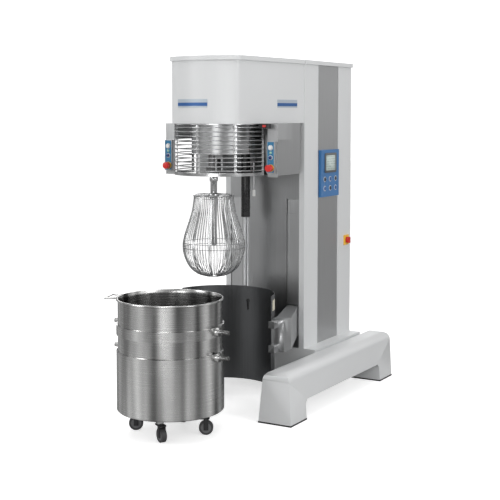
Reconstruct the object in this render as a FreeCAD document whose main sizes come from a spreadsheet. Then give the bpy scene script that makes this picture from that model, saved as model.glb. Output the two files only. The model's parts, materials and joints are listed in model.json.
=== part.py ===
import FreeCAD, Part
import Sketcher
import math
import os

# Floor-standing planetary mixer with a bowl lift and a wheeled bowl, as a parametric document.
# Millimetres, +Z up. The operator stands at -Y and looks along +Y, so +X is the operator's right.
# The origin is the middle of the floor that the machine covers.

# ---------------------------------------------------------------------------------------------
# Driving dimensions. Each one is a cell of the sheet and can be changed by itself.
# ---------------------------------------------------------------------------------------------
DIMENSIONS = {
    # whole machine
    "total_height": 2000, "total_depth": 2054, "run_gap": 0.05, "part_gap": 1,
    # base
    "leg_reach": 128, "leg_gap": 30, "leg_width": 202, "leg_top": 289, "leg_inner_draft": 31,
    "leg_outer_draft": 16, "leg_edge": 50, "arch_height": 111, "foot_length": 187, "pad_thick": 8,
    "pad_lip": 2, "arch_round": 22,
    # column
    "column_half": 270, "column_depth": 643, "rear_leg_gap": 116, "column_flange": 34,
    "strip_front": 179, "strip_width": 279, "strip_recess": 6, "sheet_thick": 2, "insert_thick": 2,
    "lid_thick": 24, "lid_overhang": 8, "lid_inset": 10, "lid_split": 2,
    "post_size": 40, "post_inset": 8, "post_front": 174, "frame_back": 30, "frame_plate": 12,
    "mid_plate_drop": 302, "slot_margin": 2, "slot_width": 80, "slot_drop": 452,
    "weld_lap": 2,
    # head
    "head_tall": 368, "head_step": 5, "head_front_half": 217, "head_corner": 30,
    "dock_reach": 494, "head_front_reach": 175, "head_bulge": 59, "head_sheet": 3,
    "beam_wide": 40, "beam_tall": 100, "beam_lift": 8,
    "housing_front": 142, "housing_back": 148,
    # planetary drive
    "drum_radius": 165, "drum_wall": 6, "drum_drop": 170, "drum_floor": 18, "drum_top_gap": 6,
    "shaft_radius": 26, "drum_pulley_radius": 110, "motor_pulley_radius": 45, "pulley_tall": 40,
    "pulley_lift": 20, "belt_thick": 6, "belt_wide": 34, "belt_gap": 0.4, "gear_module": 6,
    "ring_teeth": 48, "pinion_teeth": 18, "ring_rim": 155, "pinion_tall": 30, "pinion_drop": 32,
    "spindle_radius": 30, "coupling_radius": 43, "coupling_drop": 268, "coupling_tall": 20,
    "spindle_angle": 120, "motor_clear": 145, "motor_tall": 320, "motor_reach": 354,
    "motor_shaft": 14,
    # whisk and scraper socket
    "whisk_gap": 5, "whisk_tall": 606, "whisk_ring": 114, "whisk_ring_drop": 141,
    "whisk_wire": 2.5, "whisk_wires": 12, "whisk_shaft": 19, "whisk_shaft_long": 429,
    "socket_wide": 50, "socket_tall": 100, "socket_arm": 12,
    # guard
    "guard_inset": 14, "guard_tall": 284, "guard_band": 17, "guard_band_thick": 3,
    "guard_wire": 3, "guard_rings": 11, "guard_post_sweep": 3.5, "guard_top_gap": 8, "guard_front_start": -140,
    "guard_front_sweep": 145, "guard_left_start": -200, "guard_left_sweep": 66, "guard_left_inset": 12,
    "rail_wide": 8, "rail_tall": 5, "rail_sweep": 195, "switch_gap": 8, "switch_deep": 40,
    "switch_tall": 26,
    # rear splash cover, strut and pipe
    "splash_step": 8, "splash_front": 316, "splash_rear": 40, "splash_drop": 295,
    "strut_across": 56, "strut_back": 126, "strut_radius": 27, "strut_wall": 3, "strut_drop": 557,
    "strut_tall": 675, "strut_rod": 10, "strut_rod_thin": 5, "pipe_radius": 6, "pipe_drop": 431,
    "pipe_lap": 60,
    # operator stations, side panel and main switch
    "station_gap": 42, "station_wide": 64, "station_drop": 292, "station_back": 10,
    "station_plate": 3, "station_arm": 90, "box_thick": 24, "box_tall": 174, "box_drop": 269,
    "box_inset": 8, "start_radius": 11, "start_proud": 8, "start_drop": 130, "jog_radius": 9,
    "jog_drop": 184, "stop_radius": 19, "stop_stem": 8, "stop_proud": 30, "stop_drop": 241,
    "button_travel": 4, "button_seat": 12, "panel_bottom": 1181, "panel_tall": 285,
    "panel_wide": 244, "panel_thick": 18, "display_wide": 150, "display_tall": 112,
    "display_up": 150, "display_thick": 3, "key_radius": 12, "key_pitch": 74, "key_row": 56,
    "key_up": 51, "key_proud": 3, "key_travel": 1.5, "key_seat": 9, "switch_height": 886,
    "switch_back": 68, "switch_plate": 62, "switch_plate_thick": 8, "switch_knob": 20,
    "switch_knob_tall": 24, "switch_stem": 6,
    # bowl lift
    "rod_radius": 25, "rod_across": 150, "rod_back": 119, "screw_radius": 20, "beam_deep": 80,
    "arm_bottom": 365, "arm_top": 543, "arm_lap": 13, "arm_block_wide": 77,
    "arm_block_front": 43, "arm_block_rear": 128, "arm_play": 5, "shield_gap": 15, "shield_thick": 4,
    "shield_bottom": 113, "shield_top": 672, "shield_start": 9, "keyhole_height": 585,
    "keyhole_radius": 12, "keyhole_slot": 55, "fork_wide": 35, "fork_stand": 12, "fork_reach": 60, "fork_tall": 40,
    "fork_upper": 504, "fork_lower": 368, "lift_motor_radius": 68, "lift_motor_tall": 190, "strut_bracket": 440,
    "strut_bracket_tall": 40, "strut_rod_shift": 6, "strut_bracket_lip": 5,
    # bowl
    "bowl_radius": 276, "bowl_wall": 3, "rim_height": 723, "rim_bead": 8, "bowl_floor": 193,
    "bowl_corner": 40,
    "ledge_upper": 589, "ledge_lower": 451, "skirt_bottom": 130, "skirt_wall": 3, "skirt_stand": 5,
    "ledge_tall": 12, "band_tall": 53,
    "base_lift": 20, "skirt_lip": 22, "base_thick": 8, "bowl_pin_radius": 12, "bowl_pin_reach": 77,
    "pin_upper": 568, "pin_lower": 434, "pin_collar": 24, "pin_collar_long": 22, "handle_reach": 62,
    "handle_angle": 200, "handle_span": 26, "handle_bar": 14, "caster_inset": 111, "wheel_radius": 38,
    "wheel_wide": 26, "fork_wall": 4, "caster_trail": 22, "axle_radius": 5, "swivel_radius": 12,
    "fork_crown": 92,
    "caster_around_1": -75, "caster_around_2": 15, "caster_around_3": 105, "caster_around_4": 195,
    "caster_turn_1": -30, "caster_turn_2": 30, "caster_turn_3": 100, "caster_turn_4": 215,
    # cable inlet
    "gland_radius": 16, "gland_height": 340, "gland_reach": 26,
}

doc = FreeCAD.newDocument("planetary_mixer")
sheet = doc.addObject("Spreadsheet::Sheet", "sizes")
for row, (alias, number) in enumerate(DIMENSIONS.items(), start=1):
    sheet.set(f"A{row}", alias)
    sheet.set(f"B{row}", str(number))
    sheet.setAlias(f"B{row}", alias)
doc.recompute()


class Size:
    """A length or angle that carries both its number and the sheet formula that gives it."""

    def __init__(self, number, text):
        self.number, self.text = float(number), text

    def _join(self, other, sign, flip=False):
        first, second = (size(other), self) if flip else (self, size(other))
        a, b = first.number, second.number
        number = {"+": a + b, "-": a - b, "*": a * b}[sign] if sign != "/" else a / b
        return Size(number, f"({first.text} {sign} {second.text})")

    def __add__(self, other):
        return self._join(other, "+")

    def __radd__(self, other):
        return self._join(other, "+", flip=True)

    def __sub__(self, other):
        return self._join(other, "-")

    def __rsub__(self, other):
        return self._join(other, "-", flip=True)

    def __mul__(self, other):
        return self._join(other, "*")

    def __rmul__(self, other):
        return self._join(other, "*", flip=True)

    def __truediv__(self, other):
        return self._join(other, "/")

    def __neg__(self):
        return Size(-self.number, f"(-1 * {self.text})")

    def __float__(self):
        return self.number


def size(value):
    """The value as a Size: a plain number is its own formula."""
    return value if isinstance(value, Size) else Size(value, repr(float(value)))


class Sheet:
    """Every named cell as an attribute, so that S.rim_height is a Size."""

    def __getattr__(self, alias):
        return Size(DIMENSIONS[alias], f"sizes.{alias}")


S = Sheet()


def turned_offset(radius, degrees):
    """The X and Y of a point at this radius, turned from +X by a fixed or named angle."""
    angle = size(degrees)
    x = Size(float(radius) * math.cos(math.radians(angle.number)),
             f"({size(radius).text} * cos({angle.text} * 1 deg))")
    y = Size(float(radius) * math.sin(math.radians(angle.number)),
             f"({size(radius).text} * sin({angle.text} * 1 deg))")
    return x, y


# ---------------------------------------------------------------------------------------------
# Short names for the ways the sub-parts are made
# ---------------------------------------------------------------------------------------------
NODES = {}
TURNS = {"Z": FreeCAD.Rotation(), "X": FreeCAD.Rotation(FreeCAD.Vector(0, 1, 0), 90),
         "Y": FreeCAD.Rotation(FreeCAD.Vector(1, 0, 0), -90)}


def bind(thing, **properties):
    """Bind properties to sheet formulas; double underscores in a name stand for dots."""
    for name, value in properties.items():
        thing.setExpression(name.replace("__", "."), size(value).text)
    return thing


def place(thing, x, y, z, turn=None):
    """Put an object's own origin at (x, y, z), turned if asked."""
    thing.Placement = FreeCAD.Placement(FreeCAD.Vector(0, 0, 0), turn or FreeCAD.Rotation())
    return bind(thing, Placement__Base__x=x, Placement__Base__y=y, Placement__Base__z=z)


def box(x, y, z):
    """A block from three (low, high) pairs."""
    thing = doc.addObject("Part::Box", "block")
    bind(thing, Length=x[1] - x[0], Width=y[1] - y[0], Height=z[1] - z[0])
    return place(thing, x[0], y[0], z[0])


def rod(radius, length, x, y, z, along="Z"):
    """A round bar that starts at (x, y, z) and runs up one axis."""
    thing = doc.addObject("Part::Cylinder", "bar")
    bind(thing, Radius=radius, Height=length)
    return place(thing, x, y, z, TURNS[along])


def ring(radius, wire, x, y, z, start=0.0, sweep=360.0):
    """A round wire bent to a circle, or to an arc that starts at an angle from +X."""
    thing = doc.addObject("Part::Torus", "hoop")
    bind(thing, Radius1=radius, Radius2=wire, Angle3=sweep)
    return place(thing, x, y, z, FreeCAD.Rotation(FreeCAD.Vector(0, 0, 1), start))


def sector(radius, height, x, y, z, start, sweep):
    """A wedge of a cylinder, from a start angle through a sweep."""
    thing = doc.addObject("Part::Cylinder", "wedge")
    bind(thing, Radius=radius, Height=height, Angle=sweep)
    return place(thing, x, y, z, FreeCAD.Rotation(FreeCAD.Vector(0, 0, 1), start))


def join(*things):
    """Several shapes as one solid."""
    if len(things) == 1:
        return things[0]
    thing = doc.addObject("Part::MultiFuse", "joined")
    thing.Shapes = list(things)
    thing.Refine = True
    return thing


def cut(base, *tools):
    """The base with every tool taken away."""
    thing = doc.addObject("Part::Cut", "trimmed")
    thing.Base, thing.Tool = base, join(*tools)
    thing.Refine = True
    return thing


def group(*things):
    """Pieces that stay separate solids in one node."""
    thing = doc.addObject("Part::Compound", "pieces")
    thing.Links = list(things)
    return thing


def node(label, thing):
    """Name a finished sub-part; its file takes the same name."""
    thing.Label = label
    NODES[label] = thing
    return thing


def origin_plane(body, role):
    return next(f for f in body.Origin.OriginFeatures if f.Role == role)


def outline(sketch, corners):
    """Close a chain of straight edges, or arcs, through corners fixed by their two distances.

    A corner is (u, v), or (u, v, radius, bulge) where the edge that leaves it is an arc of that
    radius whose middle stands off the chord by bulge, positive to the left of the edge's way.
    """
    points = [FreeCAD.Vector(float(c[0]), float(c[1]), 0) for c in corners]
    for i, corner in enumerate(corners):
        start, end = points[i], points[(i + 1) % len(points)]
        if len(corner) == 4:
            chord = end - start
            left = FreeCAD.Vector(-chord.y, chord.x, 0).normalize()
            middle = (start + end) * 0.5 + left * float(corner[3])
            sketch.addGeometry(Part.Arc(start, middle, end))
        else:
            sketch.addGeometry(Part.LineSegment(start, end))

    def ends(index):
        """The (start, end) vertex numbers of an edge, which an arc drawn clockwise swaps."""
        edge = sketch.Geometry[index]
        first = edge.StartPoint if len(corners[index]) == 4 else points[index]
        return (1, 2) if (first - points[index]).Length < 1e-6 else (2, 1)

    for i, corner in enumerate(corners):
        after = (i + 1) % len(points)
        constraints = [Sketcher.Constraint("Coincident", i, ends(i)[1], after, ends(after)[0])]
        for kind, value in (("DistanceX", corner[0]), ("DistanceY", corner[1])):
            number = float(value)
            constraints.append(Sketcher.Constraint(kind, -1, 1, i, ends(i)[0], number))
        if len(corner) == 4:
            constraints.append(Sketcher.Constraint("Radius", i, float(corner[2])))
        first = sketch.ConstraintCount
        sketch.addConstraint(constraints)
        for offset, value in enumerate(corner[:3], start=1):
            sketch.setExpression(f"Constraints[{first + offset}]", size(value).text)


def sketch_on(body, role, corners, lift=0.0):
    """A closed sketch on one of the body's own planes, lifted along that plane's normal."""
    sketch = body.newObject("Sketcher::SketchObject", "profile")
    sketch.AttachmentSupport = [(origin_plane(body, role), "")]
    sketch.MapMode = "FlatFace"
    bind(sketch, AttachmentOffset__Base__z=lift)
    outline(sketch, corners)
    return sketch


def pad(corners, length, role="XY_Plane", lift=0.0):
    """A body with one closed outline pushed out along its plane's normal."""
    body = doc.addObject("PartDesign::Body", "body")
    feature = body.newObject("PartDesign::Pad", "pad")
    feature.Profile = sketch_on(body, role, corners, lift)
    bind(feature, Length=length)
    body.Tip = feature
    return body


def turned(corners, x=0.0, y=0.0, z=0.0):
    """A body turned about a vertical axis at (x, y) from a closed (radius, height) profile."""
    body = doc.addObject("PartDesign::Body", "body")
    sketch = sketch_on(body, "XZ_Plane", corners)
    feature = body.newObject("PartDesign::Revolution", "turning")
    feature.Profile = sketch
    feature.ReferenceAxis = (sketch, ["V_Axis"])
    feature.Angle = 360
    body.Tip = feature
    return place(body, x, y, z)


def rounded(body, radius, choose):
    """Round the chosen edges of the body's last feature."""
    doc.recompute()
    tip = body.Tip
    names = [f"Edge{i}" for i, edge in enumerate(tip.Shape.Edges, start=1) if choose(edge)]
    feature = body.newObject("PartDesign::Fillet", "rounding")
    feature.Base = (tip, names)
    bind(feature, Radius=radius)
    body.Tip = feature
    return body


def mirrored(thing):
    """The same sub-part on the other side of the machine's middle plane."""
    copy = doc.addObject("Part::Mirroring", "mirrored")
    copy.Source, copy.Base, copy.Normal = thing, (0, 0, 0), (1, 0, 0)
    return copy


# ---------------------------------------------------------------------------------------------
# Places worked out from the driving dimensions
# ---------------------------------------------------------------------------------------------
REAR = S.total_depth / 2
LEG_REAR = REAR - S.pad_lip
COLUMN_REAR = LEG_REAR - S.rear_leg_gap
COLUMN_FRONT = COLUMN_REAR - S.column_depth
DOCK = COLUMN_FRONT - S.dock_reach
LEG_FRONT = DOCK - S.leg_reach
SKIRT = S.bowl_radius + S.skirt_stand + S.skirt_wall
PARK = -REAR + SKIRT
LID_BASE = S.total_height - S.lid_thick
HEAD = S.total_height - S.head_tall
LEG_INNER = SKIRT + S.leg_gap
LEG_OUTER = LEG_INNER + S.leg_width
SHIELD = SKIRT + S.shield_gap + S.shield_thick
GUARD = S.bowl_radius - S.guard_inset
COUPLING = HEAD - S.coupling_drop
ECCENTRIC = S.gear_module * (S.ring_teeth - S.pinion_teeth) / 2
BELLY_RADIUS = S.bowl_radius - S.bowl_wall - ECCENTRIC - S.whisk_gap


# Base: two welded legs with arched feet, tied by a crossmember under the column
def leg():
    slope_in = LEG_INNER + S.leg_inner_draft
    slope_out = LEG_OUTER - S.leg_outer_draft
    body = pad([(LEG_INNER, S.pad_thick), (LEG_OUTER, S.pad_thick),
                (slope_out, S.leg_top), (slope_in, S.leg_top)],
               LEG_REAR - LEG_FRONT, "XZ_Plane", -LEG_REAR)
    arch = body.newObject("PartDesign::Pocket", "arch")
    front, rear = LEG_FRONT + S.foot_length, LEG_REAR - S.foot_length
    arch.Profile = sketch_on(body, "YZ_Plane", [
        (front, S.pad_thick - 1), (rear, S.pad_thick - 1), (rear, S.arch_height - S.arch_round),
        (rear - S.arch_round, S.arch_height), (front + S.arch_round, S.arch_height),
        (front, S.arch_height - S.arch_round)], LEG_INNER - S.part_gap)
    arch.Reversed = True
    bind(arch, Length=S.leg_width + 2 * S.part_gap)
    body.Tip = arch
    top = float(S.leg_top)
    return rounded(body, S.leg_edge, lambda e: min(v.Z for v in e.Vertexes) > top - 1)


leg_right = node("leg_right", leg())
node("leg_left", mirrored(leg_right))


def inner_at(height):
    """How far the leg's drafted inner face stands from the middle at a height."""
    rise = (height - S.pad_thick) / (S.leg_top - S.pad_thick)
    return LEG_INNER + S.leg_inner_draft * rise


low, high = inner_at(S.arch_height), inner_at(S.leg_top)
node("base_crossmember", pad([(-low, S.arch_height), (low, S.arch_height), (high, S.leg_top),
                              (-high, S.leg_top)], S.column_depth, "XZ_Plane", -COLUMN_REAR))
feet = []
for side in (-1, 1):
    reach = (LEG_INNER - S.pad_lip, LEG_OUTER + S.pad_lip)
    across = reach if side > 0 else (-reach[1], -reach[0])
    for y in (LEG_FRONT - S.pad_lip, LEG_REAR - S.foot_length - S.pad_lip):
        feet.append(box(across, (y, y + S.foot_length + 2 * S.pad_lip), (size(0), S.pad_thick)))
node("foot_pads", group(*feet))

# Column: folded side covers round a welded frame, with steel panels let in
COLUMN_TOP = LID_BASE
STRIP_FRONT = COLUMN_FRONT + S.strip_front
STRIP_REAR = STRIP_FRONT + S.strip_width
FLANGE = S.column_half - S.column_flange
OUT, SHEET = S.column_half, S.sheet_thick
WEB = OUT - S.strip_recess
cover = node("column_cover_right", pad([
    (FLANGE, COLUMN_FRONT), (OUT, COLUMN_FRONT), (OUT, STRIP_FRONT), (WEB, STRIP_FRONT),
    (WEB, STRIP_REAR), (OUT, STRIP_REAR), (OUT, COLUMN_REAR), (FLANGE, COLUMN_REAR),
    (FLANGE, COLUMN_REAR - SHEET), (OUT - SHEET, COLUMN_REAR - SHEET),
    (OUT - SHEET, STRIP_REAR + SHEET), (WEB - SHEET, STRIP_REAR + SHEET),
    (WEB - SHEET, STRIP_FRONT - SHEET), (OUT - SHEET, STRIP_FRONT - SHEET),
    (OUT - SHEET, COLUMN_FRONT + SHEET), (FLANGE, COLUMN_FRONT + SHEET)],
    COLUMN_TOP - S.leg_top, lift=S.leg_top))
node("column_cover_left", mirrored(cover))
inserts = []
for near, far in ((WEB, WEB + S.insert_thick), (-(WEB + S.insert_thick), -WEB)):
    inserts.append(box((near, far), (STRIP_FRONT, STRIP_REAR), (S.leg_top, COLUMN_TOP)))
node("column_inserts", group(*inserts))
node("column_rear_cover", box((-FLANGE, FLANGE), (COLUMN_REAR - SHEET, COLUMN_REAR),
                              (S.leg_top, COLUMN_TOP)))
SLOT_OUT = FLANGE - S.slot_margin
SLOT_IN = SLOT_OUT - S.slot_width
PANEL = (COLUMN_FRONT, COLUMN_FRONT + SHEET)
slots = []
for low, high in ((SLOT_IN, SLOT_OUT), (-SLOT_OUT, -SLOT_IN)):
    slots.append(box((low, high), (PANEL[0] - 1, PANEL[1] + 1),
                     (S.arm_bottom - 3 * S.part_gap, HEAD - S.slot_drop)))
node("column_front_panel", cut(box((-FLANGE, FLANGE), PANEL, (S.leg_top, HEAD)), *slots))

# Frame: four posts, three plates and two beams that carry the head
POST_OUT = FLANGE - S.post_inset
POST_IN = POST_OUT - S.post_size
BEAM_IN = POST_IN + S.weld_lap - S.beam_wide
MID_PLATE = HEAD - S.mid_plate_drop
POST_FRONT = COLUMN_FRONT + S.post_front
FRAME_REAR = COLUMN_REAR - S.frame_back
POST_TOP = COLUMN_TOP - S.part_gap
BEAM_LOW = HEAD + S.beam_lift
BEAM_HIGH = BEAM_LOW + S.beam_tall
ROD_Y = COLUMN_FRONT + S.rod_back
MOTOR_Y = COLUMN_FRONT + S.motor_reach
MOTOR_RADIUS = S.column_half - S.motor_clear
frame = []
for low, high in ((POST_IN, POST_OUT), (-POST_OUT, -POST_IN)):
    for y in (POST_FRONT, FRAME_REAR - S.post_size):
        frame.append(box((low, high), (y, y + S.post_size), (S.leg_top, POST_TOP)))
for low, high in ((BEAM_IN, BEAM_IN + S.beam_wide),
                  (-(BEAM_IN + S.beam_wide), -BEAM_IN)):
    frame.append(box((low, high), (DOCK - S.housing_front, FRAME_REAR), (BEAM_LOW, BEAM_HIGH)))
for base in (S.leg_top, MID_PLATE):
    frame.append(box((-POST_OUT, POST_OUT), (COLUMN_FRONT + 2 * S.frame_plate, FRAME_REAR),
                     (base, base + S.frame_plate)))
frame.append(box((-POST_OUT, POST_OUT), (POST_FRONT, FRAME_REAR),
                 (BEAM_HIGH, BEAM_HIGH + S.frame_plate)))
bores = [rod(S.screw_radius + S.run_gap, S.total_height, size(0), ROD_Y, size(0)),
         rod(S.motor_shaft + 10, S.frame_plate * 3, size(0), MOTOR_Y, BEAM_HIGH - S.frame_plate)]
node("column_frame", cut(join(*frame), *bores))

# Head: a sheet cover with a bowed front over the beams, and two pan lids
def head_outline(inset):
    """The head's plan, shrunk by inset on the sides and front; the front is one shallow arc."""
    half = S.head_front_half - inset
    front = DOCK - S.head_front_reach + inset
    radius = (half * half + S.head_bulge * S.head_bulge) / (2 * S.head_bulge)
    back = S.column_half - S.head_step - inset
    return [(back, COLUMN_FRONT), (-back, COLUMN_FRONT),
            (-half, front, radius, -S.head_bulge), (half, front)]


def upright(edge):
    """Edges that stand straight up."""
    ends = edge.Vertexes
    return len(ends) == 2 and abs(ends[0].X - ends[1].X) + abs(ends[0].Y - ends[1].Y) < 0.01


def front_corner(edge):
    return upright(edge) and edge.Vertexes[0].Y < float(DOCK)


def head_block(inset, low, high, corner):
    return rounded(pad(head_outline(inset), high - low, lift=low), corner, front_corner)


hollow = head_block(S.head_sheet, HEAD + S.head_sheet, LID_BASE + 1,
                    S.head_corner - S.head_sheet)
SPLASH_HALF = S.column_half - S.splash_step
SPLASH_LOW = HEAD - S.splash_drop
SPLASH = (COLUMN_FRONT - S.splash_front, COLUMN_FRONT - S.splash_rear)
rear_hole = box((-(FLANGE - SHEET), FLANGE - SHEET), (SPLASH[0] + SHEET, SPLASH[1] - SHEET),
                (HEAD - 1, HEAD + 2 * S.head_sheet))
drum_hole = rod(S.drum_radius + S.head_sheet, 3 * S.head_sheet, size(0), DOCK, HEAD - 1)
node("head_cover", cut(head_block(size(0), HEAD, LID_BASE, S.head_corner),
                       hollow, rear_hole, drum_hole))
pan = head_block(S.lid_inset, LID_BASE - 1, S.total_height - S.head_sheet, S.head_corner - S.lid_inset)
trim = box((-S.total_height, S.total_height), (COLUMN_FRONT - S.lid_split, COLUMN_REAR),
           (LID_BASE - 2, S.total_height + 1))
node("head_lid", cut(head_block(-S.lid_overhang, LID_BASE, S.total_height,
                                S.head_corner + S.lid_overhang), pan, trim))
over = S.column_half + S.lid_overhang
under = S.column_half - S.lid_inset
lid = box((-over, over), (COLUMN_FRONT, COLUMN_REAR + S.lid_overhang), (LID_BASE, S.total_height))
pan = box((-under, under), (COLUMN_FRONT + S.lid_inset, COLUMN_REAR - S.lid_inset),
          (LID_BASE - 1, S.total_height - S.head_sheet))
node("column_lid", cut(lid, pan))

# Drive in the head: a bearing housing, a fixed ring gear, and a belt from the motor in the column
housing = box((-BEAM_IN, BEAM_IN), (DOCK - S.housing_front, DOCK + S.housing_back),
              (BEAM_LOW, BEAM_HIGH))
node("gear_housing", cut(housing, rod(S.shaft_radius + S.run_gap, S.beam_tall * 2, size(0), DOCK,
                                      BEAM_LOW - S.beam_tall / 2)))
GEAR_LOW = HEAD - S.pinion_drop - S.pinion_tall


def gear_outline(teeth, module, tip, root, thin, turn=0.0):
    """A closed gear outline with involute flanks at 20 degrees; thin is the play on each flank."""
    pitch = module * teeth / 2
    base = pitch * math.cos(math.radians(20))

    def involute(radius):
        """The angle that the involute has opened to at a radius."""
        roll = math.sqrt(max((radius / base) ** 2 - 1, 0))
        return roll - math.atan(roll)

    half = math.pi / (2 * teeth) - thin / pitch + involute(pitch)
    start = max(base, root)
    flank = [start + (tip - start) * step / 3 for step in range(4)]
    points = []
    for tooth in range(teeth):
        middle = 2 * math.pi * tooth / teeth + turn
        rising = [(r, middle - half + involute(r)) for r in flank]
        falling = [(r, middle + half - involute(r)) for r in reversed(flank)]
        feet_pair = ((root, rising[0][1]), (root, falling[-1][1]))
        side = [feet_pair[0]] + rising + falling + [feet_pair[1]] if root < start else rising + falling
        points += [FreeCAD.Vector(r * math.cos(a), r * math.sin(a), 0) for r, a in side]
    return Part.Face(Part.makePolygon(points + points[:1]))


def solid(label, shape, x=0.0, y=0.0, z=0.0):
    """A sub-part whose shape is worked out here, then put in its place."""
    thing = doc.addObject("Part::Feature", label)
    thing.Shape = shape
    return place(thing, x, y, z)


module, teeth = float(S.gear_module), (int(S.ring_teeth.number), int(S.pinion_teeth.number))
PLAY = 0.12
rim = Part.Face(Part.Wire(Part.makeCircle(float(S.ring_rim))))
MESH = math.radians(-90 - float(S.spindle_angle))
space = gear_outline(teeth[0], module, module * (teeth[0] / 2 + 1.25), module * (teeth[0] / 2 - 1),
                     -PLAY, MESH)
ring_height = float(BEAM_LOW - GEAR_LOW)
node("ring_gear", solid("ring_gear", rim.cut(space).extrude(FreeCAD.Vector(0, 0, ring_height)),
                        0, DOCK, GEAR_LOW))
motor = turned([(S.motor_shaft + S.run_gap, 0), (MOTOR_RADIUS, 0),
                (MOTOR_RADIUS, S.motor_tall), (S.motor_shaft + S.run_gap, S.motor_tall)],
               0, MOTOR_Y, BEAM_HIGH - S.motor_tall)
node("main_motor", motor)
PULLEY_LOW = BEAM_HIGH + S.pulley_lift
node("motor_pulley", turned([
    (0, -1.5 * S.pulley_lift), (S.motor_shaft, -1.5 * S.pulley_lift), (S.motor_shaft, 0),
    (S.motor_pulley_radius, 0), (S.motor_pulley_radius, S.pulley_tall), (0, S.pulley_tall)],
    0, MOTOR_Y, PULLEY_LOW))


def belt_face(grow):
    """The plan of a loop round both pulleys, with straight runs tangent to both."""
    big, small = float(S.drum_pulley_radius) + grow, float(S.motor_pulley_radius) + grow
    reach = float(MOTOR_Y - DOCK)
    lean = math.asin((big - small) / reach)
    x, y = math.cos(lean), math.sin(lean)
    tangents = [FreeCAD.Vector(r * s * x, base + r * y, 0)
                for s, r, base in ((1, big, 0), (1, small, reach), (-1, small, reach), (-1, big, 0))]
    far = Part.Arc(tangents[1], FreeCAD.Vector(0, reach + small, 0), tangents[2])
    near = Part.Arc(tangents[3], FreeCAD.Vector(0, -big, 0), tangents[0])
    runs = [Part.LineSegment(tangents[0], tangents[1]), far,
            Part.LineSegment(tangents[2], tangents[3]), near]
    return Part.Face(Part.Wire([run.toShape() for run in runs]))


gap, thick = float(S.belt_gap), float(S.belt_thick)
loop = belt_face(gap + thick).cut(belt_face(gap))
node("drive_belt", solid("drive_belt", loop.extrude(FreeCAD.Vector(0, 0, float(S.belt_wide))),
                         0, DOCK, PULLEY_LOW + (S.pulley_tall - S.belt_wide) / 2))

# Planetary drum on its shaft, with the drum pulley keyed to the top
DRUM_TOP = HEAD - S.drum_top_gap
DRUM_LOW = HEAD - S.drum_drop
INNER = S.drum_radius - S.drum_wall
PULLEY_TOP = PULLEY_LOW + S.pulley_tall
SPINDLE = turned_offset(ECCENTRIC, -90 - S.spindle_angle)
SPINDLE_Y = DOCK + SPINDLE[1]
floor_top = DRUM_LOW + S.drum_floor
drum = turned([(0, DRUM_LOW), (S.drum_radius, DRUM_LOW), (S.drum_radius, DRUM_TOP),
               (INNER, DRUM_TOP), (INNER, floor_top), (S.shaft_radius, floor_top),
               (S.shaft_radius, PULLEY_TOP), (0, PULLEY_TOP)], 0, DOCK)
bore = rod(S.spindle_radius + S.run_gap, 3 * S.drum_floor, SPINDLE[0], SPINDLE_Y,
           DRUM_LOW - S.drum_floor)
pulley = turned([(S.shaft_radius, 0), (S.drum_pulley_radius, 0),
                 (S.drum_pulley_radius, S.pulley_tall), (S.shaft_radius, S.pulley_tall)],
                0, DOCK, PULLEY_LOW)
half, arm = S.socket_wide / 2, S.socket_arm
low, high = DRUM_LOW - S.socket_tall, DRUM_LOW
socket = cut(box((-half, half), (DOCK - half, DOCK + half), (low, high)),
             box((arm - half, half - arm), (DOCK - half - 1, DOCK + half + 1), (low - 1, high - 2 * arm)),
             rod(arm / 2, S.socket_wide + 2, -half - 1, DOCK, low + 2 * arm, "X"))
node("planetary_drum", group(cut(drum, bore), pulley, socket))

# Spindle: pinion at the top, coupling flange at the bottom
flange_top = COUPLING + S.coupling_tall
pinion = gear_outline(teeth[1], module, module * (teeth[1] / 2 + 1), module * (teeth[1] / 2 - 1.25),
                      PLAY, MESH)
turn_pinion = solid("pinion", pinion.extrude(FreeCAD.Vector(0, 0, float(S.pinion_tall))),
                    SPINDLE[0], SPINDLE_Y, GEAR_LOW)
stub = turned([(0, COUPLING), (S.coupling_radius, COUPLING),
               (S.coupling_radius, flange_top), (S.spindle_radius, flange_top),
               (S.spindle_radius, GEAR_LOW), (0, GEAR_LOW)], SPINDLE[0], SPINDLE_Y)
node("tool_spindle", join(stub, turn_pinion))

# Whisk: straight-then-round wires from a top hoop to a foot cap, round a stiff middle shaft
WHISK_BOTTOM = COUPLING - S.whisk_tall
WHISK_RING = COUPLING - S.whisk_ring_drop
BELLY = WHISK_BOTTOM + BELLY_RADIUS


def whisk_wire(angle):
    """One wire: a straight run from the hoop, tangent to the belly's arc, down to the foot cap."""
    belly, base = float(BELLY_RADIUS), float(BELLY)
    top, rise = float(S.whisk_ring), float(WHISK_RING) - base
    reach = math.hypot(top, rise)
    touch = math.atan2(rise, top) - math.acos(belly / reach)
    spots = [(top, base + rise), (belly * math.cos(touch), base + belly * math.sin(touch))]
    for share in (0.5, 1.0):
        around = touch + share * (math.radians(-86) - touch)
        spots.append((belly * math.cos(around), base + belly * math.sin(around)))
    points = [FreeCAD.Vector(r * math.cos(angle), r * math.sin(angle), h) for r, h in spots]
    path = Part.Wire([Part.LineSegment(points[0], points[1]).toShape(),
                      Part.Arc(points[1], points[2], points[3]).toShape()])
    circle = Part.makeCircle(float(S.whisk_wire), points[0], points[1] - points[0])
    return path.makePipeShell([Part.Wire(circle)], True, False)


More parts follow.
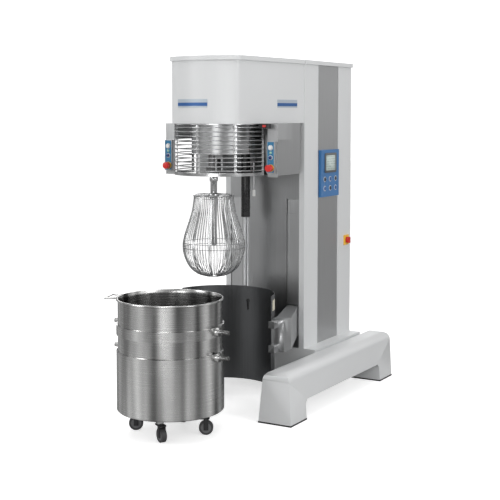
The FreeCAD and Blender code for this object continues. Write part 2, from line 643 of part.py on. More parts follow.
count = int(S.whisk_wires.number)
wires = [solid(f"wire_{i}", whisk_wire(2 * math.pi * (i + 0.5) / count), SPINDLE[0], SPINDLE_Y)
         for i in range(count)]
top_hoop = ring(S.whisk_ring, 2 * S.whisk_wire, SPINDLE[0], SPINDLE_Y, WHISK_RING)
SHAFT_END = COUPLING - S.whisk_shaft_long
middle = turned([(0, SHAFT_END), (S.whisk_shaft, SHAFT_END),
                 (S.whisk_shaft, COUPLING - 2 * S.whisk_shaft),
                 (S.coupling_radius, COUPLING), (0, COUPLING)],
                SPINDLE[0], SPINDLE_Y)
cap = rod(8 * S.whisk_wire, 3 * S.whisk_wire, SPINDLE[0], SPINDLE_Y, WHISK_BOTTOM - 1.5 * S.whisk_wire)
spoke = 2 * S.whisk_wire
spokes = [box((SPINDLE[0] - S.whisk_ring, SPINDLE[0] + S.whisk_ring), (SPINDLE_Y - spoke, SPINDLE_Y + spoke),
              (WHISK_RING - spoke, WHISK_RING + spoke)),
          box((SPINDLE[0] - spoke, SPINDLE[0] + spoke), (SPINDLE_Y - S.whisk_ring, SPINDLE_Y + S.whisk_ring),
              (WHISK_RING - spoke, WHISK_RING + spoke))]
doc.recompute()
node("whisk", solid("whisk", middle.Shape.multiFuse(
    [piece.Shape for piece in (top_hoop, cap, *spokes, *wires)])))


# Guard: a turning front cage and a closer-set fixed cage at the left, round the drum's axis
def cage(radius, start, sweep, rings, high, uprights):
    """Stacked hoop arcs over a flat bottom band, tied by flat uprights at the given angles."""
    low = HEAD - S.guard_tall
    pitch = (high - low - S.guard_band) / rings
    half = S.guard_band_thick / 2
    band = cut(sector(radius + half, S.guard_band, 0, DOCK, low, start, sweep),
               sector(radius - half, 3 * S.guard_band, 0, DOCK, low - S.guard_band, start - 5, sweep + 10))
    hoops = [ring(radius, S.guard_wire, 0, DOCK, low + S.guard_band + pitch * (i + 0.5), start, sweep)
             for i in range(rings)]
    posts = [cut(sector(radius + half, high - low, 0, DOCK, low, at - wide / 2, wide),
                 sector(radius - half, high - low + 2, 0, DOCK, low - 1, at - wide, 2 * wide))
             for at, wide in uprights]
    whole = join(band, *hoops, *posts)
    whole.Refine = False
    return whole


count, post_sweep = int(S.guard_rings.number), float(S.guard_post_sweep)
left = cage(GUARD - S.guard_left_inset, float(S.guard_left_start),
            float(S.guard_left_sweep), count + 3, HEAD,
            [(float(S.guard_left_start + share * S.guard_left_sweep), post_sweep)
             for share in (0.04, 0.96)])
rail_low = HEAD - S.rail_tall
rail = cut(sector(GUARD + S.rail_wide / 2, S.rail_tall, 0, DOCK, rail_low,
                  float(S.guard_left_start), S.rail_sweep),
           rod(GUARD - S.rail_wide / 2, 3 * S.rail_tall, 0, DOCK, rail_low - S.rail_tall))
node("guard_left", group(left, rail))
node("guard_front", cage(
    GUARD, float(S.guard_front_start), float(S.guard_front_sweep), count,
    HEAD - S.guard_top_gap,
    [(float(S.guard_front_start + share * S.guard_front_sweep), post_sweep)
     for share in (0.016, 0.36, 0.68, 0.984)]))

# Rear splash cover: a steel box that closes the underside of the head behind the guard
STRUT_LOW = HEAD - S.strut_drop
PIPE_LOW = HEAD - S.pipe_drop
STRUT = (-S.strut_across, COLUMN_FRONT - S.strut_back)
outside = box((-SPLASH_HALF, SPLASH_HALF), SPLASH, (SPLASH_LOW, HEAD))
inside = box((-(SPLASH_HALF - SHEET), SPLASH_HALF - SHEET), (SPLASH[0] + SHEET, SPLASH[1] - SHEET),
             (SPLASH_LOW + SHEET, HEAD + 1))
drum_side = rod(GUARD + 6 * S.part_gap, S.total_height, size(0), DOCK, SPLASH_LOW - 1)
strut_hole = rod(S.strut_radius, S.part_gap * 9, STRUT[0], STRUT[1], SPLASH_LOW - 2)
pipe_hole = rod(S.pipe_radius, S.part_gap * 9, size(0), STRUT[1], SPLASH_LOW - 2)
splash = cut(outside, inside, drum_side, strut_hole, pipe_hole)
node("strut_tube", cut(rod(S.strut_radius, S.strut_tall, *STRUT, STRUT_LOW),
                       rod(S.strut_radius - S.strut_wall, S.strut_tall,
                           *STRUT, STRUT_LOW - S.strut_wall)))
pipe = cut(rod(S.pipe_radius, SPLASH_LOW + S.pipe_lap - PIPE_LOW, 0, STRUT[1], PIPE_LOW),
           rod(S.pipe_radius / 2, S.strut_tall, 0, STRUT[1], PIPE_LOW - 1))
node("splash_cover", group(splash, pipe))

STATION_IN = GUARD + S.station_gap

# Guard switch: the box on the right station's bracket that senses the cage
STATION_Y = DOCK - S.station_back
node("guard_switch", box((GUARD + S.switch_gap, STATION_IN + S.station_wide / 3),
                         (STATION_Y - S.switch_deep, STATION_Y),
                         (HEAD - S.switch_tall, HEAD)))


# Operator stations: a hanging bracket and a switch box on each side of the guard
BOX_FRONT = DOCK - S.station_back - S.box_thick
BOX_LOW = HEAD - S.box_drop
BOX_X = (STATION_IN + S.box_inset, STATION_IN + S.station_wide - S.box_inset)
BUTTON_X = STATION_IN + S.station_wide / 2


def station():
    """The bracket hangs from an arm that runs in under the splash cover's side."""
    plate_rear = DOCK - S.station_back + S.station_plate
    outer = STATION_IN + S.station_wide
    hanger = box((STATION_IN, outer), (DOCK - S.station_back, plate_rear),
                 (HEAD - S.station_drop, HEAD))
    arm = box((SPLASH_HALF, STATION_IN + S.station_plate),
              (DOCK - S.station_back, SPLASH[0] + S.station_arm),
              (HEAD - S.station_plate, HEAD))
    gusset = box((STATION_IN, STATION_IN + S.station_plate),
                 (DOCK - S.station_back, SPLASH[0] + S.station_arm),
                 (HEAD - S.station_arm, HEAD))
    case = box(BOX_X, (BOX_FRONT, DOCK - S.station_back), (BOX_LOW, BOX_LOW + S.box_tall))
    holes = [rod(radius + S.run_gap, S.button_seat + 1, BUTTON_X, BOX_FRONT - 1, at, "Y")
             for radius, at in ((S.start_radius, HEAD - S.start_drop), (S.jog_radius, HEAD - S.jog_drop),
                                (S.stop_stem, HEAD - S.stop_drop))]
    round_guard = rod(GUARD + S.rail_wide, S.station_arm, 0, DOCK,
                      HEAD - S.station_arm / 2)
    return group(cut(join(hanger, arm, gusset), round_guard), cut(case, *holes))


def button(radius, proud, height, head=None):
    """A round cap on a stem that sits in the switch box, with room to travel in its seat."""
    inside = S.button_seat - S.button_travel - S.part_gap
    if head is None:
        return rod(radius, proud + inside, BUTTON_X, BOX_FRONT - proud, height, "Y")
    rim = S.button_travel + 2 * S.part_gap
    return join(rod(radius, proud + inside, BUTTON_X, BOX_FRONT - proud, height, "Y"),
                rod(head, proud - rim, BUTTON_X, BOX_FRONT - proud, height, "Y"))


for name, thing in (("station", station()),
                    ("start_button", button(S.start_radius, S.start_proud, HEAD - S.start_drop)),
                    ("jog_button", button(S.jog_radius, S.start_proud, HEAD - S.jog_drop)),
                    ("stop_button", button(S.stop_stem, S.stop_proud, HEAD - S.stop_drop, S.stop_radius))):
    node(f"{name}_right", thing)
    node(f"{name}_left", mirrored(thing))

# Control panel on the right side's steel insert, with a display and six keys
FACE = WEB + S.insert_thick
PANEL_Y = (STRIP_FRONT + STRIP_REAR) / 2
PANEL_OUT = FACE + S.panel_thick
case = box((FACE, PANEL_OUT), (PANEL_Y - S.panel_wide / 2, PANEL_Y + S.panel_wide / 2),
           (S.panel_bottom, S.panel_bottom + S.panel_tall))
keys, seats = [], []
for row in range(2):
    for column in (-1, 0, 1):
        y, z = PANEL_Y + column * S.key_pitch, S.panel_bottom + S.key_up + row * S.key_row
        seats.append(rod(S.key_radius + S.run_gap, S.key_seat + 1, PANEL_OUT - S.key_seat, y, z, "X"))
        depth = S.key_seat - S.key_travel - S.part_gap
        keys.append(rod(S.key_radius, depth + S.key_proud, PANEL_OUT - depth, y, z, "X"))
for number, key in enumerate(keys, start=1):
    node(f"panel_key_{number}", key)
low = S.panel_bottom + S.display_up
display = box((PANEL_OUT, PANEL_OUT + S.display_thick),
              (PANEL_Y - S.display_wide / 2, PANEL_Y + S.display_wide / 2),
              (low, low + S.display_tall))
node("control_panel", group(cut(case, *seats), display))

# Main switch on the right side's rear strip
SWITCH_Y = COLUMN_REAR - S.switch_back
half = S.switch_plate / 2
SEAT = OUT + S.switch_plate_thick
stem_hole = rod(S.switch_stem + S.run_gap, S.switch_plate_thick + 1, OUT + 1, SWITCH_Y,
                S.switch_height, "X")
node("main_switch_plate", cut(box((OUT, SEAT), (SWITCH_Y - half, SWITCH_Y + half),
                                  (S.switch_height - half, S.switch_height + half)), stem_hole))
skirt = rod(S.switch_knob, S.switch_knob_tall / 3, SEAT + S.part_gap, SWITCH_Y, S.switch_height, "X")
wing = box((SEAT + S.part_gap, SEAT + S.switch_knob_tall),
           (SWITCH_Y - S.switch_stem, SWITCH_Y + S.switch_stem),
           (S.switch_height - S.switch_knob + 1, S.switch_height + S.switch_knob - 1))
stem = rod(S.switch_stem, S.switch_plate_thick, OUT + 2, SWITCH_Y, S.switch_height, "X")
node("main_switch_knob", join(skirt, wing, stem))

# Bowl lift: rods, screw and motor in the column, and a carriage that reaches out through the slots
PLATE_TOP = S.leg_top + S.frame_plate
MOTOR_BASE = MID_PLATE + S.frame_plate
rods = [rod(S.rod_radius, MID_PLATE - PLATE_TOP, x, ROD_Y, PLATE_TOP)
        for x in (S.rod_across, -S.rod_across)]
node("guide_rods", group(*rods))
screw_foot = S.leg_top + S.part_gap
node("lift_screw", rod(S.screw_radius, MOTOR_BASE - S.part_gap - screw_foot, 0, ROD_Y, screw_foot))
node("lift_motor", rod(S.lift_motor_radius, S.lift_motor_tall, 0, ROD_Y, MOTOR_BASE))

ARM_HEIGHT = S.arm_top - S.arm_bottom
BLOCK_IN = SHIELD - S.arm_lap
BLOCK_OUT = SHIELD + S.arm_block_wide
BLOCK_FRONT = DOCK + S.arm_block_front
BLOCK_REAR = DOCK + S.arm_block_rear
BEAM_FRONT = ROD_Y - S.beam_deep / 2
BEAM_REAR = ROD_Y + S.beam_deep / 2
arm_in, arm_out = SLOT_IN + S.arm_play, SLOT_OUT - S.arm_play
FORK_X = SHIELD + S.fork_stand


def arm():
    """One arm: a block beside the shield that runs back through its slot, with two pin forks."""
    body = pad([(BLOCK_IN, BLOCK_FRONT), (BLOCK_OUT, BLOCK_FRONT),
                (BLOCK_OUT, BLOCK_REAR), (arm_out, COLUMN_FRONT), (arm_out, BEAM_FRONT),
                (arm_in, BEAM_FRONT), (arm_in, COLUMN_FRONT), (BLOCK_IN, BLOCK_REAR)],
               ARM_HEIGHT, lift=S.arm_bottom)
    forks = []
    for base in (S.fork_upper, S.fork_lower):
        block = box((FORK_X, FORK_X + S.fork_wide), (BLOCK_FRONT - S.fork_reach, BLOCK_FRONT),
                    (base, base + S.fork_tall))
        notch = rod(S.bowl_pin_radius + S.part_gap, S.fork_wide * 3, FORK_X - S.fork_wide, DOCK,
                    base + S.fork_tall, "X")
        forks.append(cut(block, notch))
    return join(body, *forks)


right_arm = arm()
crossbeam = box((-arm_out, arm_out), (BEAM_FRONT, BEAM_REAR), (S.arm_bottom, S.arm_top))
tools = [rod(radius + S.run_gap, ARM_HEIGHT * 2, x, ROD_Y, S.arm_bottom - ARM_HEIGHT / 2)
         for radius, x in ((S.rod_radius, S.rod_across), (S.rod_radius, -S.rod_across),
                           (S.screw_radius, 0))]
tools.append(rod(SHIELD, ARM_HEIGHT * 2, 0, DOCK, S.arm_bottom - ARM_HEIGHT / 2))
node("lift_carriage", cut(join(crossbeam, right_arm, mirrored(right_arm)), *tools))

# Shield: a half-round guard behind the bowl, with a keyhole and the strut's rods on a bracket
tall = S.shield_top - S.shield_bottom
start, sweep = S.shield_start, 180 - 2 * S.shield_start
shell = cut(sector(SHIELD, tall, 0, DOCK, S.shield_bottom, float(start), sweep),
            rod(SHIELD - S.shield_thick, tall + 2, 0, DOCK, S.shield_bottom - 1))
hole_y = DOCK + SHIELD - 3 * S.shield_thick
keyhole = [rod(S.keyhole_radius, 6 * S.shield_thick, 0, hole_y, S.keyhole_height, "Y"),
           box((-S.keyhole_radius / 2, S.keyhole_radius / 2), (hole_y, hole_y + 6 * S.shield_thick),
               (S.keyhole_height - S.keyhole_slot, S.keyhole_height))]
bracket_top = S.strut_bracket + S.strut_bracket_tall
bracket = cut(box((STRUT[0] - S.strut_radius, STRUT[0] + S.strut_radius),
                  (DOCK + SHIELD / 2, STRUT[1] + S.strut_rod + S.strut_bracket_lip),
                  (S.strut_bracket, bracket_top)),
              rod(SHIELD, 3 * S.strut_bracket_tall, 0, DOCK,
                  S.strut_bracket - S.strut_bracket_tall))
rod_length = STRUT_LOW + S.strut_radius - bracket_top
struts = [rod(radius, rod_length, STRUT[0] + shift, STRUT[1], bracket_top)
          for radius, shift in ((S.strut_rod, -S.strut_rod_shift),
                                (S.strut_rod_thin, S.strut_rod + S.fork_wall))]
node("bowl_shield", group(cut(shell, *keyhole), join(bracket, *struts)))

# Bowl: a drawn vessel in a rolled skirt with a base for the casters, parked in front of the dock
floor, corner = S.bowl_floor, S.bowl_corner
wall = S.bowl_radius - S.bowl_wall
node("bowl_shell", turned([
    (0, floor - S.bowl_wall), (S.bowl_radius - corner, floor - S.bowl_wall),
    (S.bowl_radius, floor - S.bowl_wall + corner), (S.bowl_radius, S.rim_height - S.rim_bead),
    (S.bowl_radius + S.rim_bead, S.rim_height - S.rim_bead),
    (S.bowl_radius + S.rim_bead, S.rim_height), (wall, S.rim_height), (wall, floor + corner),
    (wall - corner, floor), (0, floor)], 0, PARK))
inner = SKIRT - S.skirt_wall
base_low = S.skirt_bottom + S.base_lift
base_high = base_low + S.base_thick
spacer = wall / 2
skirt = turned([
    (0, base_low), (inner, base_low), (inner, S.skirt_bottom + 2 * S.skirt_wall),
    (inner - S.skirt_lip, S.skirt_bottom + 2 * S.skirt_wall), (inner - S.skirt_lip, S.skirt_bottom),
    (SKIRT - 2 * S.skirt_wall, S.skirt_bottom), (SKIRT, S.skirt_bottom + 2 * S.skirt_wall),
    (SKIRT, S.ledge_lower - S.skirt_wall), (S.bowl_radius, S.ledge_lower),
    (S.bowl_radius, S.ledge_lower - S.ledge_tall), (inner, S.ledge_lower - S.ledge_tall),
    (inner, base_high), (spacer + S.skirt_wall, base_high),
    (spacer + S.skirt_wall, floor - S.bowl_wall), (spacer, floor - S.bowl_wall),
    (spacer, base_high), (0, base_high)], 0, PARK)
CASTERS = []
for number in (1, 2, 3, 4):
    x, y = turned_offset(SKIRT - S.caster_inset, getattr(S, f"caster_around_{number}"))
    CASTERS.append((number, x, PARK + y, getattr(S, f"caster_turn_{number}")))
CROWN_TOP = S.fork_crown
socket_low = CROWN_TOP + 2 * S.part_gap
sockets = [rod(S.swivel_radius + 2 * S.fork_wall, base_low - socket_low, x, y, socket_low)
           for _, x, y, _ in CASTERS]
bores = [rod(S.swivel_radius + S.run_gap, base_low - socket_low, x, y, socket_low - S.part_gap)
         for _, x, y, _ in CASTERS]
node("bowl_skirt", cut(join(skirt, *sockets), *bores))

band = cut(rod(SKIRT, S.band_tall, 0, PARK, S.ledge_upper - S.band_tall),
           rod(S.bowl_radius, S.band_tall * 3, 0, PARK, S.ledge_upper - 2 * S.band_tall))
pins = []
for height in (S.pin_upper, S.pin_lower):
    for direction in (1, -1):
        collar_end = SKIRT + S.pin_collar_long
        for radius, end in ((S.bowl_pin_radius, SKIRT + S.bowl_pin_reach), (S.pin_collar, collar_end)):
            base = S.bowl_radius / 2
            x = base if direction > 0 else -end
            pins.append(rod(radius, end - base, x, PARK, height, "X"))
core = rod(SKIRT, S.rim_height, 0, PARK, 0)
plate_low = S.rim_height - S.rim_bead + 1
half = S.handle_span / 2
reach = SKIRT + S.handle_reach
handle = cut(sector(reach, S.rim_bead - 2, 0, PARK, plate_low,
                    float(S.handle_angle - half), S.handle_span),
             cut(sector(reach - S.handle_bar, 2 * S.rim_bead, 0, PARK, plate_low - S.rim_bead / 2,
                        float(S.handle_angle - half + 5), S.handle_span - 10),
                 rod(SKIRT + S.handle_bar, 3 * S.rim_bead, 0, PARK, plate_low - S.rim_bead)),
             rod(S.bowl_radius + S.rim_bead, 3 * S.rim_bead, 0, PARK, plate_low - S.rim_bead))
node("bowl_fittings", group(band, cut(join(*pins), core), handle))


def caster_fork():
    """A crown on a swivel stem, two cheeks and the axle, all in the caster's own place."""
    half = S.wheel_wide / 2 + S.part_gap
    outer = half + S.fork_wall
    crown = box((-S.wheel_radius / 2, S.caster_trail + S.wheel_radius / 2), (-outer, outer),
                (CROWN_TOP - 2 * S.fork_wall, CROWN_TOP))
    cheeks = [box((S.caster_trail - 2.5 * S.axle_radius, S.caster_trail + 2.5 * S.axle_radius), side,
                  (S.wheel_radius - 2.5 * S.axle_radius, CROWN_TOP - S.fork_wall))
              for side in ((half, outer), (-outer, -half))]
    stem = rod(S.swivel_radius, base_low - S.part_gap * 2 - CROWN_TOP, 0, 0, CROWN_TOP)
    axle = rod(S.axle_radius, 2 * outer, S.caster_trail, -outer, S.wheel_radius, "Y")
    return join(crown, *cheeks, stem, axle)


def caster_wheel():
    """A wheel with a bore that turns on the axle."""
    half = S.wheel_wide / 2
    return cut(rod(S.wheel_radius, S.wheel_wide, S.caster_trail, -half, S.wheel_radius, "Y"),
               rod(S.axle_radius + S.run_gap, 3 * S.wheel_wide, S.caster_trail, -3 * half,
                   S.wheel_radius, "Y"))


for number, x, y, trail in CASTERS:
    swivel = FreeCAD.Rotation(FreeCAD.Vector(0, 0, 1), float(trail))
    node(f"caster_fork_{number}", place(caster_fork(), x, y, 0, swivel))
    node(f"caster_wheel_{number}", place(caster_wheel(), x, y, 0, swivel))

# Mains inlet: the gland low on the rear cover
node("cable_gland", rod(S.gland_radius, S.gland_reach, S.rod_across, COLUMN_REAR, S.gland_height, "Y"))

doc.recompute()
faults = [thing.Label for thing in doc.Objects if {"Invalid", "Error"} & set(thing.State)]
for label, thing in NODES.items():
    if thing.Shape.isNull() or not thing.Shape.isValid() or not thing.Shape.Solids:
        faults.append(label)
if faults:
    raise SystemExit(f"These objects failed: {', '.join(faults)}")
os.makedirs("parts", exist_ok=True)
for label, thing in NODES.items():
    thing.Shape.exportStep(f"parts/{label}.step")
print(f"{len(NODES)} sub-parts written")
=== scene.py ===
import json
import math
import bmesh
import bpy
import numpy as np
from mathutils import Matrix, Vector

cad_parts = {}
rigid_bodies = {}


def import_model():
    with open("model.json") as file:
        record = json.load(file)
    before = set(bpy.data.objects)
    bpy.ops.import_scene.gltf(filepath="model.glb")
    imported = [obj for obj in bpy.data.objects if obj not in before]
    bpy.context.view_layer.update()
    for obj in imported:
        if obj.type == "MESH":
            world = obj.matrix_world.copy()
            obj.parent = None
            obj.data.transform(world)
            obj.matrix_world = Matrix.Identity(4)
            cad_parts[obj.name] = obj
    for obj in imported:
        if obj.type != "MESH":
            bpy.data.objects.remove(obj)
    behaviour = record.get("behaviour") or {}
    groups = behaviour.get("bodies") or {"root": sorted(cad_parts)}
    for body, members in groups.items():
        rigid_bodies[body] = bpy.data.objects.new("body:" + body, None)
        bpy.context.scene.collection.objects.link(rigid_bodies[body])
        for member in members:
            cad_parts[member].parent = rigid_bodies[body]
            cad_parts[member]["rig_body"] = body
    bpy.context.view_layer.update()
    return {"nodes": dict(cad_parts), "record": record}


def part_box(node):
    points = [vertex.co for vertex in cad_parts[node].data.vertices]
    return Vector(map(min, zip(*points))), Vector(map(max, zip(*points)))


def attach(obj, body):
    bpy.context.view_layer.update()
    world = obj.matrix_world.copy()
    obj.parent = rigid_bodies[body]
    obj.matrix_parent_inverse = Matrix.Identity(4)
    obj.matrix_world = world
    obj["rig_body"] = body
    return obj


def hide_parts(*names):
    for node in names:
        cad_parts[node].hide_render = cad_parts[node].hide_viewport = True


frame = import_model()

studio = bpy.context.scene

# ---------------------------------------------------------------------------------------------
# Camera: at a standing person's eye height, in front of the machine's right corner, looking
# slightly down, with a little lens shift so that uprights stay nearly parallel.
# ---------------------------------------------------------------------------------------------
camera = bpy.data.objects.new("camera", bpy.data.cameras.new("camera"))
studio.collection.objects.link(camera)
studio.camera = camera
camera.location = (3.258, -5.512, 1.6935)
camera.rotation_euler = (math.radians(90 - 4.533), 0, math.radians(30.163))
camera.data.sensor_width, camera.data.lens, camera.data.shift_y = 36, 79.54, -0.10
camera.data.clip_start, camera.data.clip_end = 0.1, 100
studio.view_settings.view_transform = "Standard"

# ---------------------------------------------------------------------------------------------
# Room: a pale sealed floor and soft panels in a white studio. The walls seen by the steel are
# brighter and darker by turns, which is what gives polished metal its upright bands.
# ---------------------------------------------------------------------------------------------
class Link:
    """A shader value that can be added up and multiplied; numbers alone stay numbers."""

    def __init__(self, finish, socket):
        self.finish, self.socket = finish, socket

    def _math(self, operation, first, second):
        return self.finish.node("Math", {"operation": operation}, [first, second])

    def __add__(self, other):
        return self._math("ADD", self, other)

    def __radd__(self, other):
        return self._math("ADD", other, self)

    def __sub__(self, other):
        return self._math("SUBTRACT", self, other)

    def __rsub__(self, other):
        return self._math("SUBTRACT", other, self)

    def __mul__(self, other):
        return self._math("MULTIPLY", self, other)

    def __rmul__(self, other):
        return self._math("MULTIPLY", other, self)

    def __gt__(self, other):
        return self._math("GREATER_THAN", self, other)

    def __lt__(self, other):
        return self._math("LESS_THAN", self, other)


def set_ramp(ramp, stops):
    """A colour ramp's stops as (place, colour) pairs in rising order."""
    for element, (place, colour) in zip(ramp.elements, (stops[0], stops[-1])):
        element.position, element.color = place, (*colour, 1)
    for place, colour in stops[1:-1]:
        ramp.elements.new(place).color = (*colour, 1)


class Finish:
    """A finish being mixed: node() adds any shader node, wired from values or Links."""

    def __init__(self, name, **constants):
        self.material = bpy.data.materials.new(name)
        self.material.use_nodes = True
        self.tree = self.material.node_tree
        self.shader = self.tree.nodes["Principled BSDF"]
        for socket, value in constants.items():
            self.shader.inputs[socket.replace("_", " ")].default_value = value

    def node(self, kind, settings=None, sockets=(), out=0):
        """One node of this kind; settings first, then sockets as a list or a dict by name."""
        made = self.tree.nodes.new(f"ShaderNode{kind}")
        for key, value in (settings or {}).items():
            if key == "stops":
                set_ramp(made.color_ramp, value)
            else:
                setattr(made, key, value)
        pairs = sockets.items() if isinstance(sockets, dict) else enumerate(sockets)
        for key, value in pairs:
            if isinstance(value, Link):
                self.tree.links.new(value.socket, made.inputs[key])
            else:
                made.inputs[key].default_value = value
        return Link(self, made.outputs[out])

    def into(self, socket, value):
        """The value is wired into one of the shader's own sockets."""
        self.tree.links.new(value.socket, self.shader.inputs[socket])

    def place(self, stretch=(1, 1, 1), shift=(0, 0, 0)):
        """Object coordinates in metres, stretched along each axis."""
        where = self.node("TexCoord", out=3)
        return self.node("Mapping", {}, {"Vector": where, "Scale": stretch, "Location": shift})

    def noise(self, scale, detail=2.0, rough=0.5, stretch=(1, 1, 1), shift=(0, 0, 0)):
        """Soft noise from 0 to 1 with about this many lumps to a metre."""
        return self.node("TexNoise", {}, {"Vector": self.place(stretch, shift), "Scale": scale,
                                          "Detail": detail, "Roughness": rough})

    def blend(self, share, first, second):
        """The first colour turning into the second as share goes from 0 to 1."""
        return self.node("Mix", {"data_type": "RGBA"}, {0: share, 6: (*first, 1), 7: (*second, 1)}, 2)

    def bump(self, height, strength, distance=0.001):
        """Fine relief on the surface from a height pattern."""
        self.into("Normal", self.node("Bump", {}, {"Strength": strength, "Distance": distance,
                                                   "Height": height}))


def grid_mesh(name, points, finish, close_u=False, close_v=False):
    """A surface through a grid of points, rows by columns, with its faces turned up the rows'
    right-hand side; close_u joins the last row to the first, close_v the last column."""
    rows, columns = points.shape[:2]
    r = np.arange(rows if close_u else rows - 1)[:, None]
    c = np.arange(columns if close_v else columns - 1)[None, :]
    r2, c2 = (r + 1) % rows, (c + 1) % columns
    quads = np.stack([r * columns + c, r * columns + c2, r2 * columns + c2, r2 * columns + c], -1)
    mesh = bpy.data.meshes.new(name)
    mesh.from_pydata(points.reshape(-1, 3).tolist(), [], quads.reshape(-1, 4).tolist())
    mesh.materials.append(finish)
    mesh.polygons.foreach_set("use_smooth", np.ones(len(mesh.polygons), bool))
    return mesh


def piece(name, mesh, body=None, replaces=(), sharp=None):
    """The mesh as a named piece that rides on a body; sharp keeps creases over that angle."""
    if sharp:
        mesh.set_sharp_from_angle(angle=math.radians(sharp))
    made = bpy.data.objects.new(name, mesh)
    studio.collection.objects.link(made)
    if body:
        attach(made, body)
    if replaces:
        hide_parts(*replaces)
    return made


ROOM_REACH, FLOOR_LEVEL, FLOOR_GLOW = 30.0, -0.0005, 0.6
floor_finish = Finish("floor_finish", Roughness=0.6, Emission_Strength=1.0)
direct = floor_finish.node("LightPath")
floor_share = direct * (floor_finish.noise(0.8) * 0.1 + 0.9)
floor_finish.into("Base Color", floor_finish.blend(floor_share, (0.42, 0.42, 0.42), (0.88, 0.88, 0.88)))
floor_finish.into("Emission Color", floor_finish.blend(direct, (0, 0, 0), (FLOOR_GLOW,) * 3))
edge = np.linspace(-ROOM_REACH, ROOM_REACH, 7)
ground = np.stack(np.meshgrid(edge, edge, [FLOOR_LEVEL], indexing="ij"), -1)[:, :, 0].transpose(1, 0, 2)
piece("floor", grid_mesh("floor", ground, floor_finish.material))

room = bpy.data.worlds.new("room")
studio.world = room
room.use_nodes = True
room_nodes, room_links = room.node_tree.nodes, room.node_tree.links
side = room_nodes.new("ShaderNodeTexCoord")
turn = room_nodes.new("ShaderNodeSeparateXYZ")
bands = room_nodes.new("ShaderNodeMath")
bands.operation = "ARCTAN2"
tone = room_nodes.new("ShaderNodeValToRGB")
spread = room_nodes.new("ShaderNodeMapRange")
spread.inputs["From Min"].default_value, spread.inputs["From Max"].default_value = -math.pi, math.pi
room_links.new(side.outputs["Generated"], turn.inputs[0])
room_links.new(turn.outputs[0], bands.inputs[0])
room_links.new(turn.outputs[1], bands.inputs[1])
room_links.new(bands.outputs[0], spread.inputs[0])
room_links.new(spread.outputs[0], tone.inputs[0])
WALLS = ((0.0, 0.30), (0.05, 0.95), (0.10, 0.20), (0.19, 0.30), (0.25, 1.0), (0.31, 0.30), (0.38, 0.35),
         (0.43, 1.0), (0.49, 0.18), (0.56, 0.95), (0.62, 0.22), (0.70, 1.0), (0.77, 0.25), (0.84, 0.9),
         (0.91, 0.16), (1.0, 0.30))
set_ramp(tone.color_ramp, [(at, (bright,) * 3) for at, bright in WALLS])
seen = room_nodes.new("ShaderNodeLightPath")
white_out = room_nodes.new("ShaderNodeMix")
white_out.data_type = "RGBA"
white_out.inputs[7].default_value = (1.3, 1.3, 1.3, 1)
room_links.new(seen.outputs["Is Camera Ray"], white_out.inputs[0])
room_links.new(tone.outputs[0], white_out.inputs[6])
room_links.new(white_out.outputs[2], room_nodes["Background"].inputs[0])
room_nodes["Background"].inputs[1].default_value = 1.05

for name, place, size, power, aim in (
        ("panel_left", (-3.4, -4.6, 3.6), (1.6, 3.4), 92, (0, -0.2, 0.9)),
        ("panel_right", (5.2, -1.8, 3.2), (1.2, 3.6), 86, (0.2, 0.3, 1.0)),
        ("panel_top", (0.4, -0.6, 5.2), (3.4, 3.4), 62, (0, 0, 0)),
        ("panel_front", (1.4, -6.6, 1.3), (2.6, 1.6), 66, (0.1, -0.3, 0.7)),
        ("panel_back", (-3.6, 4.6, 3.4), (2.0, 2.6), 60, (0, 0, 1.0))):
    lamp = bpy.data.objects.new(name, bpy.data.lights.new(name, "AREA"))
    lamp.data.shape, lamp.data.size, lamp.data.size_y, lamp.data.energy = "RECTANGLE", *size, power
    lamp.location = place
    away = lamp.location.copy()
    away -= type(away)(aim)
    lamp.rotation_euler = away.to_track_quat("Z", "Y").to_euler()
    studio.collection.objects.link(lamp)


# ---------------------------------------------------------------------------------------------
# Feet: two long cast legs joined by a low cross beam, welded and powder coated white in one
# with the body, and standing on thin black rubber pads.
# ---------------------------------------------------------------------------------------------
def powder_coat(name, colour, roughness=0.34):
    """Sprayed and baked powder: fine orange peel, a little unevenness, and duller scuffs."""
    coat = Finish(name, IOR=1.5)
    drift = coat.noise(3.0, 3.0)
    dull = tuple(0.955 * part for part in colour)
    coat.into("Base Color", coat.blend(drift, dull, colour))
    scuffs = coat.noise(14.0, 6.0, 0.7) * 0.16
    coat.into("Roughness", scuffs + (roughness - 0.08))
    peel = coat.noise(420.0, 1.0)
    coat.bump(peel, 0.10, 0.0004)
    return coat.material


def moulded(name, colour, roughness=0.4, speckle=900.0):
    """Moulded rubber or plastic: an even colour, a fine grain, and slightly uneven gloss."""
    mould = Finish(name)
    patch = mould.noise(26.0, 4.0, 0.6)
    pale = tuple(min(1.0, 1.18 * part + 0.004) for part in colour)
    mould.into("Base Color", mould.blend(patch, colour, pale))
    mould.into("Roughness", patch * 0.2 + (roughness - 0.1))
    mould.bump(mould.noise(speckle, 1.0), 0.12, 0.0003)
    return mould.material


def joined(node, finish, sharp=32):
    """A copy of one node's skin with its triangles joined, so that round surfaces are shaded
    smoothly and only real corners stay sharp. It rides on the node's own body."""
    source = frame["nodes"][node]
    mesh = source.data.copy()
    work = bmesh.new()
    work.from_mesh(mesh)
    bmesh.ops.remove_doubles(work, verts=work.verts, dist=2e-6)
    work.to_mesh(mesh)
    work.free()
    mesh.polygons.foreach_set("use_smooth", np.ones(len(mesh.polygons), bool))
    mesh.materials.clear()
    mesh.materials.append(finish)
    made = piece(f"{node}_skin", mesh, source["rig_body"], (node,), sharp)
    made.modifiers.new("even_normals", "WEIGHTED_NORMAL").keep_sharp = True
    return made


